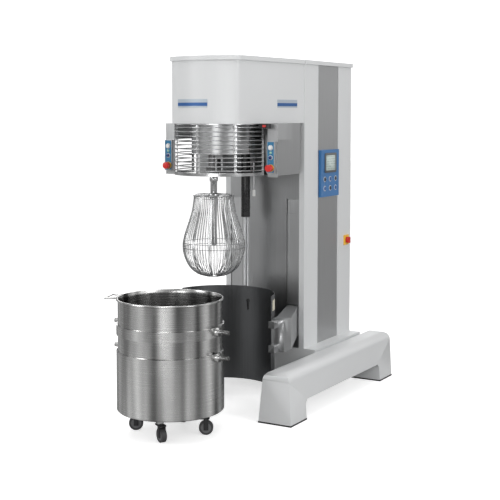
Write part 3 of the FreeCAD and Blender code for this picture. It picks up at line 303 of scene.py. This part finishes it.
AXIS = {joint["name"]: joint["pos_m"] for joint in frame["record"]["behaviour"]["joints"]}
white_coat = powder_coat("white_coat", (0.76, 0.77, 0.775))
for node in ("leg_left", "leg_right", "base_crossmember"):
    joined(node, white_coat)
joined("foot_pads", moulded("foot_rubber", (0.018, 0.018, 0.018), 0.7))


# ---------------------------------------------------------------------------------------------
# Column: folded white covers round a welded frame, a rear cover, a pan lid, and brushed steel
# strips let into both sides and the front, screwed from inside.
# ---------------------------------------------------------------------------------------------
def brushed(name, colour, along="z", roughness=0.28, relief=0.2):
    """Stainless sheet with a brushed grain: streaks along one axis in tone, gloss and relief."""
    stretch = {"x": (3, 240, 240), "y": (240, 3, 240), "z": (240, 240, 3), "round": (2, 2, 520)}
    steel = Finish(name, Metallic=1.0)
    streak = steel.noise(1.0, 3.0, 0.6, stretch[along])
    cloud = steel.noise(5.0, 3.0, 0.6)
    dark, pale = (tuple(share * part for part in colour) for share in (0.84, 1.08))
    steel.into("Base Color", steel.blend(streak, dark, pale))
    steel.into("Roughness", streak * 0.14 + cloud * 0.10 + (roughness - 0.10))
    steel.bump(streak, 1.0, relief * 0.001)
    return steel.material


for node in ("column_cover_left", "column_cover_right", "column_rear_cover", "column_lid"):
    joined(node, white_coat)
upright_grain = brushed("upright_grain", (0.52, 0.525, 0.53), "z", 0.38)
joined("column_inserts", upright_grain)
joined("column_front_panel", brushed("front_grain", (0.42, 0.425, 0.43), "z", 0.32))
primer = powder_coat("grey_primer", (0.16, 0.165, 0.17), 0.5)
joined("column_frame", primer)

# ---------------------------------------------------------------------------------------------
# Bowl lift inside the column: two hard-chromed guide rods, a rolled screw and its geared motor
# on the plate above. Thread shows as fine rings on the screw.
# ---------------------------------------------------------------------------------------------
def machined(name, colour, pitch=0.0, roughness=0.25):
    """Turned steel: fine rings at right angles to the axis, or a thread's ridges at a pitch."""
    cut_steel = Finish(name, Metallic=1.0)
    rings = cut_steel.noise(1.0, 2.0, 0.5, (4, 4, 900))
    stain = cut_steel.noise(18.0, 3.0, 0.6)
    dark = tuple(0.72 * part for part in colour)
    cut_steel.into("Base Color", cut_steel.blend(stain * 0.6 + rings * 0.4, dark, colour))
    cut_steel.into("Roughness", stain * 0.16 + (roughness - 0.08))
    if pitch:
        where = cut_steel.node("SeparateXYZ", {}, [cut_steel.place()], 2)
        wave = cut_steel.node("Math", {"operation": "SINE"}, [where * (2 * math.pi / pitch)])
        cut_steel.bump(wave, 0.9, 0.002)
    else:
        cut_steel.bump(rings, 0.15, 0.0002)
    return cut_steel.material


chromed = machined("hard_chrome", (0.72, 0.73, 0.74), 0, 0.14)
joined("guide_rods", chromed)
joined("lift_screw", machined("screw_thread", (0.45, 0.45, 0.45), 0.02, 0.3))
motor_grey = powder_coat("motor_grey", (0.05, 0.065, 0.085), 0.5)
joined("lift_motor", motor_grey)
joined("cable_gland", moulded("gland_nylon", (0.02, 0.02, 0.02), 0.45))


# ---------------------------------------------------------------------------------------------
# Slot covers: thin brushed sheets behind the front panel's two slots. Each slot is closed by a
# band that rises with the arm, and above it by a fixed plate screwed to the frame.
# ---------------------------------------------------------------------------------------------
def rings_round(profile, outline, centre, across, up, out):
    """Rings of a flat outline: each profile step shrinks it by an inset and lifts it by a rise.
    A point is centre + outline (less its inset, along the outline's inward lines) + rise * out."""
    inset, rise = np.array(profile, float).T
    flat = outline[None, :, :2] - inset[:, None, None] * outline[None, :, 2:]
    lift = rise[:, None, None] * np.array(out, float)
    return np.array(centre, float) + flat @ np.array([across, up], float) + lift


def rounded_outline(half_a, half_b, corner, steps=6):
    """A rounded rectangle, anticlockwise: four quarter arcs of radius corner, with the outward
    direction beside each point."""
    turn = np.radians(np.linspace(0, 90, steps))
    arcs = np.concatenate([turn + quarter * math.pi / 2 for quarter in range(4)])
    signs = np.repeat(np.array([(1, 1), (-1, 1), (-1, -1), (1, -1)], float), steps, axis=0)
    outward = np.stack([np.cos(arcs), np.sin(arcs)], -1)
    middle = signs * np.array([half_a - corner, half_b - corner])
    return np.concatenate([middle + corner * outward, outward], -1)


def capped(mesh_name, points, finish):
    """Rings of points, lowest first and each anticlockwise from outside, closed at both ends."""
    mesh = grid_mesh(mesh_name, points, finish, close_v=True)
    count, last = points.shape[1], (points.shape[0] - 1) * points.shape[1]
    faces = [tuple(face.vertices) for face in mesh.polygons]
    faces += [tuple(range(count))[::-1], tuple(range(last, last + count))]
    mesh.clear_geometry()
    mesh.from_pydata(points.reshape(-1, 3).tolist(), [], faces)
    mesh.polygons.foreach_set("use_smooth", np.ones(len(mesh.polygons), bool))
    return mesh


def merged(name, meshes, finish):
    """Several meshes as one, with a single finish."""
    work = bmesh.new()
    for part in meshes:
        work.from_mesh(part)
    whole = bpy.data.meshes.new(name)
    work.to_mesh(whole)
    work.free()
    whole.materials.append(finish)
    return whole


def slot_sheet(x, back, low, high):
    """One thin sheet with rounded corners that stands just behind a slot of the front panel."""
    rings = rings_round([(0.0005, 0), (0, 0.0003), (0, 0.0009), (0.0005, 0.0012)],
                        rounded_outline(SHEET_HALF, (high - low) / 2, SHEET_CORNER),
                        (x, back, (low + high) / 2), **FORWARD)
    return capped("sheet", rings, upright_grain)


FORWARD = dict(across=(1, 0, 0), up=(0, 0, 1), out=(0, -1, 0))
SLOT_X, SHEET_HALF, SHEET_CORNER = 0.194, 0.0385, 0.004
BAND_BACK, PLATE_BACK = 0.2714, 0.2734
BELOW_ARM, ABOVE_ARM, TOP_PLATE = (0.292, 0.3605), (0.5475, 1.094), (1.089, 1.179)
for side, x in (("left", -SLOT_X), ("right", SLOT_X)):
    bands = [slot_sheet(x, BAND_BACK, *heights) for heights in (BELOW_ARM, ABOVE_ARM)]
    piece(f"slot_band_{side}", merged("slot_band", bands, upright_grain), "carriage",
          sharp=30)
    piece(f"slot_plate_{side}", slot_sheet(x, PLATE_BACK, *TOP_PLATE), "root", sharp=30)

# ---------------------------------------------------------------------------------------------
# Main switch: a yellow moulded plate on the white cover with a red turning knob, screwed
# through the cover low on the operator's right side.
# ---------------------------------------------------------------------------------------------
joined("main_switch_plate", moulded("switch_yellow", (0.86, 0.50, 0.05), 0.42))
signal_red = moulded("signal_red", (0.62, 0.022, 0.018), 0.3, 1500.0)
joined("main_switch_knob", signal_red)


# ---------------------------------------------------------------------------------------------
# Control panel: a blue moulded case on the brushed strip, with a framed display and six round
# membrane keys, each in a pale ring. It is clipped in from outside.
# ---------------------------------------------------------------------------------------------
panel_low, panel_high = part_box("control_panel")
PANEL_Y, PANEL_FACE = (panel_low.y + panel_high.y) / 2, 0.284
SIDEWAYS = dict(across=(0, 1, 0), up=(0, 0, 1), out=(1, 0, 0))
joined("control_panel", moulded("panel_blue", (0.045, 0.17, 0.40), 0.36, 1400.0))

DISPLAY = (PANEL_FACE, PANEL_Y, 1.387)
frame_outer = rounded_outline(0.0790, 0.0600, 0.010)
frame_inner = rounded_outline(0.0640, 0.0460, 0.006)
frame_rings = np.concatenate([
    rings_round([(0, 0.0005), (0, 0.0040), (0.0015, 0.0052)], frame_outer, DISPLAY, **SIDEWAYS),
    rings_round([(-0.0012, 0.0052), (0, 0.0040), (0, 0.0005)], frame_inner, DISPLAY, **SIDEWAYS)])
bezel_grey = moulded("bezel_grey", (0.10, 0.105, 0.11), 0.35, 1600.0)
piece("display_bezel", grid_mesh("display_bezel", frame_rings, bezel_grey, close_u=True, close_v=True),
      "root", sharp=40)

screen = Finish("display_glass", Roughness=0.12, Coat_Weight=0.5)
rows = screen.node("SeparateXYZ", {}, [screen.place()], 2)
lines = screen.node("Math", {"operation": "SINE"}, [rows * 420.0]) > 0.35
cells = screen.noise(1.0, 0.0, 0.5, (1, 260, 60)) > 0.52
screen_tone = screen.blend(lines * cells * 0.55, (0.42, 0.50, 0.47), (0.13, 0.17, 0.17))
screen.into("Base Color", screen_tone)
screen.into("Emission Color", screen_tone)
screen.shader.inputs["Emission Strength"].default_value = 0.18
glass_rings = rings_round([(0.0006, 0.0028), (0, 0.0031), (0, 0.0034), (0.0006, 0.0037)],
                          rounded_outline(0.0645, 0.0465, 0.006), DISPLAY, **SIDEWAYS)
piece("display_glass", capped("display_glass", glass_rings, screen.material), "root",
      sharp=40)

def turned(section, centre, across, up, out, count=40):
    """Rings of a turned shape: each (radius, rise) of the section goes once round the axis, so a
    point is centre + radius * (cos along across + sin along up) + rise * out."""
    around = np.linspace(0, 2 * math.pi, count, endpoint=False)
    circle = np.stack([np.cos(around), np.sin(around)], -1) @ np.array([across, up], float)
    radius, rise = np.array(section, float).T[:, :, None, None]
    return np.array(centre, float) + radius * circle + rise * np.array(out, float)


def collar(name, centre, inner, outer, high, finish, **axes):
    """A flat ring with eased edges: its closed section is turned round the axis."""
    section = [(inner, 0), (outer, 0), (outer, 0.6 * high), (outer - 0.4 * high, high),
               (inner + 0.4 * high, high), (inner, 0.6 * high)]
    return grid_mesh(name, turned(section, centre, **axes), finish, close_u=True, close_v=True)


key_dark = moulded("key_dark", (0.018, 0.022, 0.035), 0.32, 1500.0)
key_blue = moulded("key_blue", (0.03, 0.10, 0.30), 0.32, 1500.0)
pale_ring = moulded("pale_ring", (0.62, 0.64, 0.66), 0.35, 1500.0)
key_rims = []
for number in range(1, 7):
    low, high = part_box(f"panel_key_{number}")
    joined(f"panel_key_{number}", key_blue if number % 2 else key_dark)
    key_rims.append(collar("rim", (PANEL_FACE, (low.y + high.y) / 2, (low.z + high.z) / 2),
                           0.0125, 0.0165, 0.0016, pale_ring, **SIDEWAYS))
piece("key_rings", merged("key_rings", key_rims, pale_ring), "root", sharp=40)

# ---------------------------------------------------------------------------------------------
# Head: a white folded cover with a bowed front over the gear housing, and a pan lid. Blank
# name plates are stuck to its front and right side: a pale strip with a blue band.
# ---------------------------------------------------------------------------------------------
joined("head_cover", white_coat)
joined("head_lid", white_coat)
plate_metal = Finish("plate_metal", Metallic=0.25)
plate_up = plate_metal.node("SeparateXYZ", {}, [plate_metal.place()], 2)
PLATE_LOW, PLATE_HIGH, PLATE_PROUD, BAND_LOW, BAND_HIGH = 1.720, 1.766, 0.0015, 1.7285, 1.7470
band = (plate_up > BAND_LOW) * (plate_up < BAND_HIGH)
plate_metal.into("Base Color", plate_metal.blend(band, (0.50, 0.56, 0.62), (0.04, 0.13, 0.36)))
plate_metal.into("Roughness", plate_metal.noise(60.0, 3.0) * 0.15 + 0.25)
plate_metal.bump(plate_metal.noise(700.0, 1.0), 0.08, 0.0002)


def strip(name, foot, outward):
    """A thin plate along a plan line: each of its four edge lines is the line moved outward, and
    the section runs once round from back low to back high."""
    section = ((0.0, PLATE_LOW), (PLATE_PROUD, PLATE_LOW + 0.0008),
               (PLATE_PROUD, PLATE_HIGH - 0.0008), (0.0, PLATE_HIGH))
    points = np.stack([np.concatenate([foot + out * outward, np.full((len(foot), 1), up)], 1)
                       for out, up in section], 1)
    mesh = grid_mesh(name, points, plate_metal.material, close_v=True)
    work = bmesh.new()
    work.from_mesh(mesh)
    bmesh.ops.holes_fill(work, edges=[e for e in work.edges if e.is_boundary])
    bmesh.ops.recalc_face_normals(work, faces=work.faces)
    work.to_mesh(mesh)
    work.free()
    return piece(name, mesh, "root", sharp=30)


BOW, BOW_Y = 0.42857, -0.03343
across = np.linspace(-0.150, 0.055, 15)
lean = np.stack([across / BOW, -np.sqrt(1 - (across / BOW) ** 2)], -1)
strip("name_plate_front", np.array([0, BOW_Y]) + BOW * lean, lean)
rear_corner, front_corner = np.array([0.265, 0.266]), np.array([0.217, -0.403])
run = (rear_corner - front_corner) / np.linalg.norm(rear_corner - front_corner)
out_side = np.array([run[1], -run[0]])
reach = np.linspace(0.385, 0.595, 6)[:, None]
strip("name_plate_side", front_corner + reach * run, np.repeat(out_side[None], len(reach), 0))

# ---------------------------------------------------------------------------------------------
# Drive: a cast housing with a fixed ring gear, and a belt from the motor in the column. All of
# it is machined or painted and hidden under the head cover.
# ---------------------------------------------------------------------------------------------
for node in ("gear_housing", "main_motor"):
    joined(node, motor_grey)
gear_steel = machined("gear_steel", (0.26, 0.26, 0.262), 0, 0.42)
for node in ("ring_gear", "motor_pulley", "tool_spindle"):
    joined(node, gear_steel)
joined("drive_belt", moulded("belt_rubber", (0.014, 0.014, 0.015), 0.7, 300.0))


# ---------------------------------------------------------------------------------------------
# Planetary drum: a polished drum that turns under the head, carrying the off-centre spindle
# and a square socket for the scraper arm.
# ---------------------------------------------------------------------------------------------
joined("planetary_drum", brushed("drum_polish", (0.52, 0.525, 0.53), "round", 0.32, 0.1))

# ---------------------------------------------------------------------------------------------
# Whisk: a turned shaft with spokes to a rolled ring, from which sixty-six thin and eleven thick
# spring wires hang in a pear shape down to a cap. Hoops keep them apart; all is brazed together.
# ---------------------------------------------------------------------------------------------
SPIN = tuple(AXIS["spindle_turn"][:2])
UPRIGHT = dict(across=(1, 0, 0), up=(0, 1, 0), out=(0, 0, 1))
bright_wire = brushed("bright_wire", (0.56, 0.565, 0.57), "z", 0.24, 0.05)


def smooth_line(marks, count):
    """A Catmull-Rom curve: between marks p1 and p2 a point is the cubic blend of p0..p3 whose
    slope at p1 is (p2 - p0) / 2 and at p2 is (p3 - p1) / 2."""
    marks = np.array(marks, float)
    full = np.vstack([2 * marks[0] - marks[1], marks, 2 * marks[-1] - marks[-2]])
    where = np.linspace(0, len(marks) - 1, count)
    step = np.minimum(where.astype(int), len(marks) - 2)
    t = (where - step)[:, None]
    p0, p1, p2, p3 = (full[step + k] for k in range(4))
    return 0.5 * (2 * p1 + (p2 - p0) * t + (2 * p0 - 5 * p1 + 4 * p2 - p3) * t ** 2
                  + (3 * p1 - p0 - 3 * p2 + p3) * t ** 3)


def turned_piece(name, profile, centre, finish, count):
    """A shape turned on an upright axis from (radius, height), lowest first on the outside."""
    return capped(name, turned(profile, (*centre, 0), count=count, **UPRIGHT), finish)


def hoop(name, centre, big, small, height, finish, sides, count=72):
    """A ring of round wire: the wire's circle is carried round the big radius."""
    around = np.linspace(0, 2 * math.pi, count, endpoint=False)[:, None]
    wire = np.linspace(0, 2 * math.pi, sides, endpoint=False)[None, :]
    reach = big + small * np.cos(wire)
    points = np.stack([centre[0] + reach * np.cos(around), centre[1] + reach * np.sin(around),
                       height + small * np.sin(wire) + 0 * around], -1)
    return grid_mesh(name, points[:, ::-1], finish, close_u=True, close_v=True)


PEAR = smooth_line([(0.1135, 1.2230), (0.1140, 1.2000), (0.1250, 1.1300), (0.1480, 1.0560),
                    (0.1690, 0.9900), (0.1775, 0.9360), (0.1690, 0.8760), (0.1400, 0.8150),
                    (0.0960, 0.7780), (0.0480, 0.7620), (0.0080, 0.7590)], 30)
slope = np.gradient(PEAR, axis=0)
slope /= np.linalg.norm(slope, axis=1)[:, None]


def pear_wires(count, thick, shift, sides=6):
    """Wires on the pear: its profile (r, z) is turned to each wire's angle, and a small circle
    of the wire's radius is carried along it, square to the profile's slope."""
    angle = (np.arange(count) + shift) * 2 * math.pi / count
    ring_turn = np.linspace(0, 2 * math.pi, sides, endpoint=False)
    radial = np.stack([np.cos(angle), np.sin(angle), 0 * angle], -1)
    side_way = np.stack([-np.sin(angle), np.cos(angle), 0 * angle], -1)
    axis_up = np.array([0, 0, 1.0])
    line = (PEAR[None, :, :1] * radial[:, None] + PEAR[None, :, 1:] * axis_up)
    square = slope[None, :, 1:] * radial[:, None] - slope[None, :, :1] * axis_up
    tube = (line[:, :, None] + thick * (np.cos(ring_turn)[None, None, :, None] * square[:, :, None]
            + np.sin(ring_turn)[None, None, :, None] * side_way[:, None, None]))
    tube[..., :2] += SPIN
    return [capped("wire", one[::-1, ::-1], bright_wire) for one in tube]


RING_Z = 1.2230
HOOPS = (("top", 0.1130, 0.0045, RING_Z, 10), ("neck", 0.1120, 0.0020, 1.2080, 6),
         ("mid", 0.1720, 0.0019, 0.9540, 6), ("low", 0.1745, 0.0019, 0.9260, 6))
shaft_profile = [(0.002, 0.9352), (0.012, 0.9375), (0.0185, 0.9450), (0.0190, 1.1800), (0.0190, 1.2100),
                 (0.0300, 1.2130), (0.0320, 1.2160), (0.0320, 1.2300), (0.0300, 1.2330),
                 (0.0190, 1.2370), (0.0190, 1.3000), (0.0240, 1.3060), (0.0240, 1.3240),
                 (0.0200, 1.3290), (0.0220, 1.3400), (0.0400, 1.3600), (0.0425, 1.3620),
                 (0.0425, 1.3638)]
cap_profile = [(0.002, 0.7555), (0.014, 0.7558), (0.0190, 0.7575), (0.0190, 0.7610), (0.0100, 0.7630),
               (0.002, 0.7632)]
whisk_parts = pear_wires(66, 0.0016, 0.5) + pear_wires(11, 0.0024, 0.0)
whisk_parts += [turned_piece("shaft", shaft_profile, SPIN, bright_wire, 40),
                turned_piece("cap", cap_profile, SPIN, bright_wire, 32)]
whisk_parts += [hoop(name, SPIN, big, small, height, bright_wire, sides)
                for name, big, small, height, sides in HOOPS]
for quarter in range(4):
    turn_to = quarter * math.pi / 2 + 0.4
    along = (math.cos(turn_to), math.sin(turn_to), 0)
    aside = (-math.sin(turn_to), math.cos(turn_to), 0)
    spoke = rings_round([(0.001, 0.030), (0, 0.0305), (0, 0.1105), (0.001, 0.111)],
                        rounded_outline(0.008, 0.0035, 0.002), (*SPIN, RING_Z),
                        across=aside, up=(0, 0, 1), out=along)
    whisk_parts.append(capped("spoke", spoke, bright_wire))
piece("whisk_wires", merged("whisk_wires", whisk_parts, bright_wire), "spindle",
      ("whisk",), 50)

# ---------------------------------------------------------------------------------------------
# Guard: cages of polished rings over flat bands, the front one turning on the rail under the
# head, with a magnetic switch at the right. Behind it a brushed box closes the head's underside
# round a thin wash pipe.
# ---------------------------------------------------------------------------------------------
ring_polish = brushed("ring_polish", (0.50, 0.505, 0.51), "round", 0.24, 0.06)
joined("guard_front", ring_polish)
joined("guard_left", ring_polish)
joined("guard_switch", moulded("switch_black", (0.02, 0.02, 0.022), 0.4))
joined("splash_cover", brushed("splash_grain", (0.50, 0.505, 0.51), "z", 0.34))
switch_low, switch_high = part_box("guard_switch")
lever = rings_round([(0.001, 0.0), (0, 0.001), (0, 0.005), (0.001, 0.006)],
                    rounded_outline(0.010, 0.006, 0.003),
                    ((switch_low.x + switch_high.x) / 2 + 0.008, switch_low.y + 0.0005, 1.619),
                    **FORWARD)
piece("switch_lever", capped("switch_lever", lever, signal_red), "root", sharp=40)
pipe_white = moulded("pipe_white", (0.75, 0.75, 0.73), 0.4)
PIPE_FOOT = (0, 0.140, 0)
tip = turned([(0.0062, 1.1990), (0.0085, 1.2000), (0.0090, 1.2030), (0.0090, 1.2330),
              (0.0080, 1.2360), (0.0062, 1.2370)], PIPE_FOOT, **UPRIGHT)
piece("pipe_tip", grid_mesh("pipe_tip", tip, pipe_white, close_u=True, close_v=True), "root",
      sharp=40)

# ---------------------------------------------------------------------------------------------
# Counterweight strut: a black coated tube under the head, with chromed rods that slide out of
# it as the bowl shield goes up and down.
# ---------------------------------------------------------------------------------------------
tube_black = moulded("tube_black", (0.012, 0.012, 0.013), 0.28)
joined("strut_tube", tube_black)

# ---------------------------------------------------------------------------------------------
# Carriage and shield: two heavy arms reach out through the column's slots with forks for the
# bowl's pins, and carry a dark stainless half-round shield, bolted on from behind. A blank
# pale label is stuck near its top at the right.
# ---------------------------------------------------------------------------------------------
joined("lift_carriage", brushed("arm_grain", (0.42, 0.425, 0.43), "y", 0.34))
shield = Finish("shield_sheet", Metallic=1.0)
shade = shield.noise(2.2, 3.0, 0.6, (1, 1, 0.5))
streaks = shield.noise(1.0, 3.0, 0.6, (200, 200, 3))
sheet_tone = shield.blend(shade * 0.6 + streaks * 0.4, (0.085, 0.088, 0.092), (0.21, 0.215, 0.22))
ROD_START_Y = 0.085
behind = shield.node("SeparateXYZ", {}, [shield.place()], 1) > ROD_START_Y
shield.into("Base Color", shield.node("Mix", {"data_type": "RGBA"},
                                      {0: behind, 6: sheet_tone, 7: (0.66, 0.67, 0.68, 1)}, 2))
shield.into("Roughness", streaks * 0.14 + 0.30)
shield.bump(streaks, 0.15, 0.0002)
joined("bowl_shield", shield.material)
SHIELD_R, DOCK = 0.303, np.array(AXIS["drum_turn"][:2])


def curved_plate(name, near, far, first, last, low, high, finish, steps=9):
    """A plate bent round the dock's axis between two radii, two angles and two heights."""
    arc = np.radians(np.linspace(first, last, steps))
    lean = np.stack([np.cos(arc), np.sin(arc)], -1)
    ease = (far - near) * 0.5
    corners = ((near, low), (far, low + ease), (far, high - ease), (near, high))
    points = np.stack([np.concatenate([DOCK + radius * lean, np.full((steps, 1), up)], 1)
                       for radius, up in corners], 1)
    return capped(name, points[::-1], finish)


label_cream = moulded("label_cream", (0.68, 0.64, 0.52), 0.5)
piece("shield_label", curved_plate("label", SHIELD_R + 0.0001, SHIELD_R + 0.0006, 12, 24, 0.585, 0.645,
                                   label_cream), "carriage", sharp=30)
piece("keyhole_backing", curved_plate("backing", SHIELD_R + 0.0004, SHIELD_R + 0.0034, 85, 95, 0.515,
                                      0.612, tube_black), "carriage", sharp=30)

# ---------------------------------------------------------------------------------------------
# Operator stations: at each side of the head a steel box on a bracket, its face covered by a
# blue film, with a white start button, a lamp, a dark blue jog button and a red stop button
# over a yellow ring.
# ---------------------------------------------------------------------------------------------
station = Finish("station_face", Metallic=1.0)
spot = station.place()
east, north, height = (station.node("SeparateXYZ", {}, [spot], n) for n in range(3))
aside = station.node("Math", {"operation": "ABSOLUTE"}, [east])
STATION_X, FILM_HALF, FILM_Y, FILM_LOW, FILM_HIGH = 0.336, 0.0205, -0.2612, 1.3665, 1.5335
film = ((north < FILM_Y) * (aside > STATION_X - FILM_HALF) * (aside < STATION_X + FILM_HALF)
        * (height > FILM_LOW) * (height < FILM_HIGH))
grain = station.noise(1.0, 3.0, 0.6, (240, 240, 3))
steel_tone = station.blend(grain, (0.42, 0.425, 0.43), (0.56, 0.565, 0.57))
mixed = station.node("Mix", {"data_type": "RGBA"}, {0: film, 6: steel_tone, 7: (0.03, 0.19, 0.36, 1)}, 2)
station.into("Base Color", mixed)
station.into("Metallic", 1 - film)
station.into("Roughness", grain * 0.12 + film * 0.08 + 0.24)
station.bump(grain, 0.12, 0.0002)
button_white = moulded("button_white", (0.80, 0.80, 0.79), 0.22, 1500.0)
button_blue = moulded("button_blue", (0.018, 0.04, 0.16), 0.22, 1500.0)
lamp_green = moulded("lamp_green", (0.35, 0.55, 0.42), 0.15, 1500.0)
yellow_film = moulded("yellow_film", (0.88, 0.60, 0.04), 0.4, 1500.0)
LAMP_Z = 1.4745
DOME = [(0.0075, -0.0002), (0.0075, 0.0010), (0.0060, 0.0016), (0.0055, 0.0030), (0.0038, 0.0045),
        (0.0012, 0.0050)]
for side in ("left", "right"):
    start, jog, stop = (AXIS[f"{button}_button_{side}_press"] for button in ("start", "jog", "stop"))
    joined(f"station_{side}", station.material)
    joined(f"start_button_{side}", button_white)
    joined(f"jog_button_{side}", button_blue)
    joined(f"stop_button_{side}", signal_red)
    rims = [collar("rim", start, 0.0115, 0.0150, 0.0030, pale_ring, **FORWARD),
            collar("rim", jog, 0.0095, 0.0130, 0.0030, pale_ring, **FORWARD)]
    piece(f"button_rims_{side}", merged("rims", rims, pale_ring), "root", sharp=40)
    piece(f"stop_ring_{side}", collar("stop_ring", stop, 0.0095, 0.0205, 0.0012, yellow_film, **FORWARD),
          "root", sharp=40)
    lens = turned(DOME, (*start[:2], LAMP_Z), **FORWARD)
    piece(f"lamp_{side}", capped("lamp", lens, lamp_green), "root", sharp=40)

# ---------------------------------------------------------------------------------------------
# Bowl: a spun and welded stainless vessel with a rolled rim, two lifting ledges and a skirt
# down to the base plate, polished round; pins with collars and a bent handle are welded on.
# ---------------------------------------------------------------------------------------------
def spun(name, colour, roughness):
    """Spun stainless: fine rings round the bowl, broad upright bands of painted reflection, bright and
    dark (noise squeezed along the height, with its contrast raised), and faint hand marks."""
    steel = Finish(name, Metallic=1.0)
    # Painted reflection: upright bright and dark bands in the base colour stand in for the lights and
    # walls mirrored in the polished steel.
    bands = steel.noise(1.0, 1.0, 0.5, (13, 13, 0.5), (0.35, 0, 0)) * 2.6 - 0.8
    rings = steel.noise(1.0, 3.0, 0.6, (3, 3, 620), (0, 0.743, 0))
    marks = steel.noise(34.0, 6.0, 0.75)
    dark = tuple(0.05 * part for part in colour)
    steel.into("Base Color", steel.blend(bands * 0.9 + rings * 0.12, dark, colour))
    steel.into("Roughness", rings * 0.10 + marks * 0.04 + (roughness - 0.08))
    steel.bump(rings, 0.6, 0.0001)
    return steel.material


# This colour is the bright end of the bowl's painted reflection bands; their dark end is painted shade.
bowl_painted_reflection_steel = spun("bowl_painted_reflection_steel", (1.0, 1.0, 0.99), 0.27)


def bead(centre_r, centre_z, small, first, last, steps):
    """Points on a quarter or more of a circle, by angle in degrees from the outward side."""
    turn = np.radians(np.linspace(first, last, steps))
    return [(centre_r + small * math.cos(a), centre_z + small * math.sin(a)) for a in turn]


OUT_R, IN_R = 0.276, 0.273
vessel = ([(0.004, 0.1902), (0.200, 0.1902)] + bead(0.236, 0.2302, 0.040, -90, 0, 9)
          + [(OUT_R, 0.2500), (OUT_R, 0.4500), (OUT_R, 0.5890), (OUT_R, 0.7050)]
          + bead(0.2790, 0.7180, 0.0050, -120, 100, 12) + [(0.2755, 0.7228)]
          + [(IN_R, 0.7195), (IN_R, 0.7000), (IN_R, 0.5800), (IN_R, 0.2600)]
          + bead(0.233, 0.2332, 0.040, 0, -90, 9) + [(0.120, 0.1932), (0.004, 0.1932)])
bowl_shell = turned_piece("bowl_vessel", vessel, AXIS["bowl_roll"][:2], bowl_painted_reflection_steel, 128)
piece("bowl_vessel", bowl_shell, "bowl", ("bowl_shell",), 40)
joined("bowl_skirt", bowl_painted_reflection_steel, 24)
joined("bowl_fittings", bowl_painted_reflection_steel, 30)

# ---------------------------------------------------------------------------------------------
# Casters: black pressed forks on swivel heads under the base plate, with grey rubber treads on
# moulded wheels and bright axle ends.
# ---------------------------------------------------------------------------------------------
HUB_R = 0.0300
fork_black = powder_coat("fork_black", (0.025, 0.025, 0.027), 0.4)
for number in range(1, 5):
    joined(f"caster_fork_{number}", fork_black)
    wheel = Finish(f"wheel_rubber_{number}", Roughness=0.6)
    low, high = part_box(f"caster_wheel_{number}")
    hub = ((low.x + high.x) / 2, (low.y + high.y) / 2, (low.z + high.z) / 2)
    from_hub = wheel.node("VectorMath", {"operation": "DISTANCE"},
                          {0: wheel.node("TexCoord", out=3), 1: hub}, 1)
    tread = from_hub > HUB_R
    wheel.into("Base Color", wheel.blend(tread, (0.16, 0.16, 0.165), (0.060, 0.060, 0.062)))
    worn = wheel.noise(60.0, 4.0, 0.7)
    wheel.into("Roughness", worn * 0.25 + 0.45)
    wheel.bump(worn, 0.15, 0.0005)
    joined(f"caster_wheel_{number}", wheel.material)
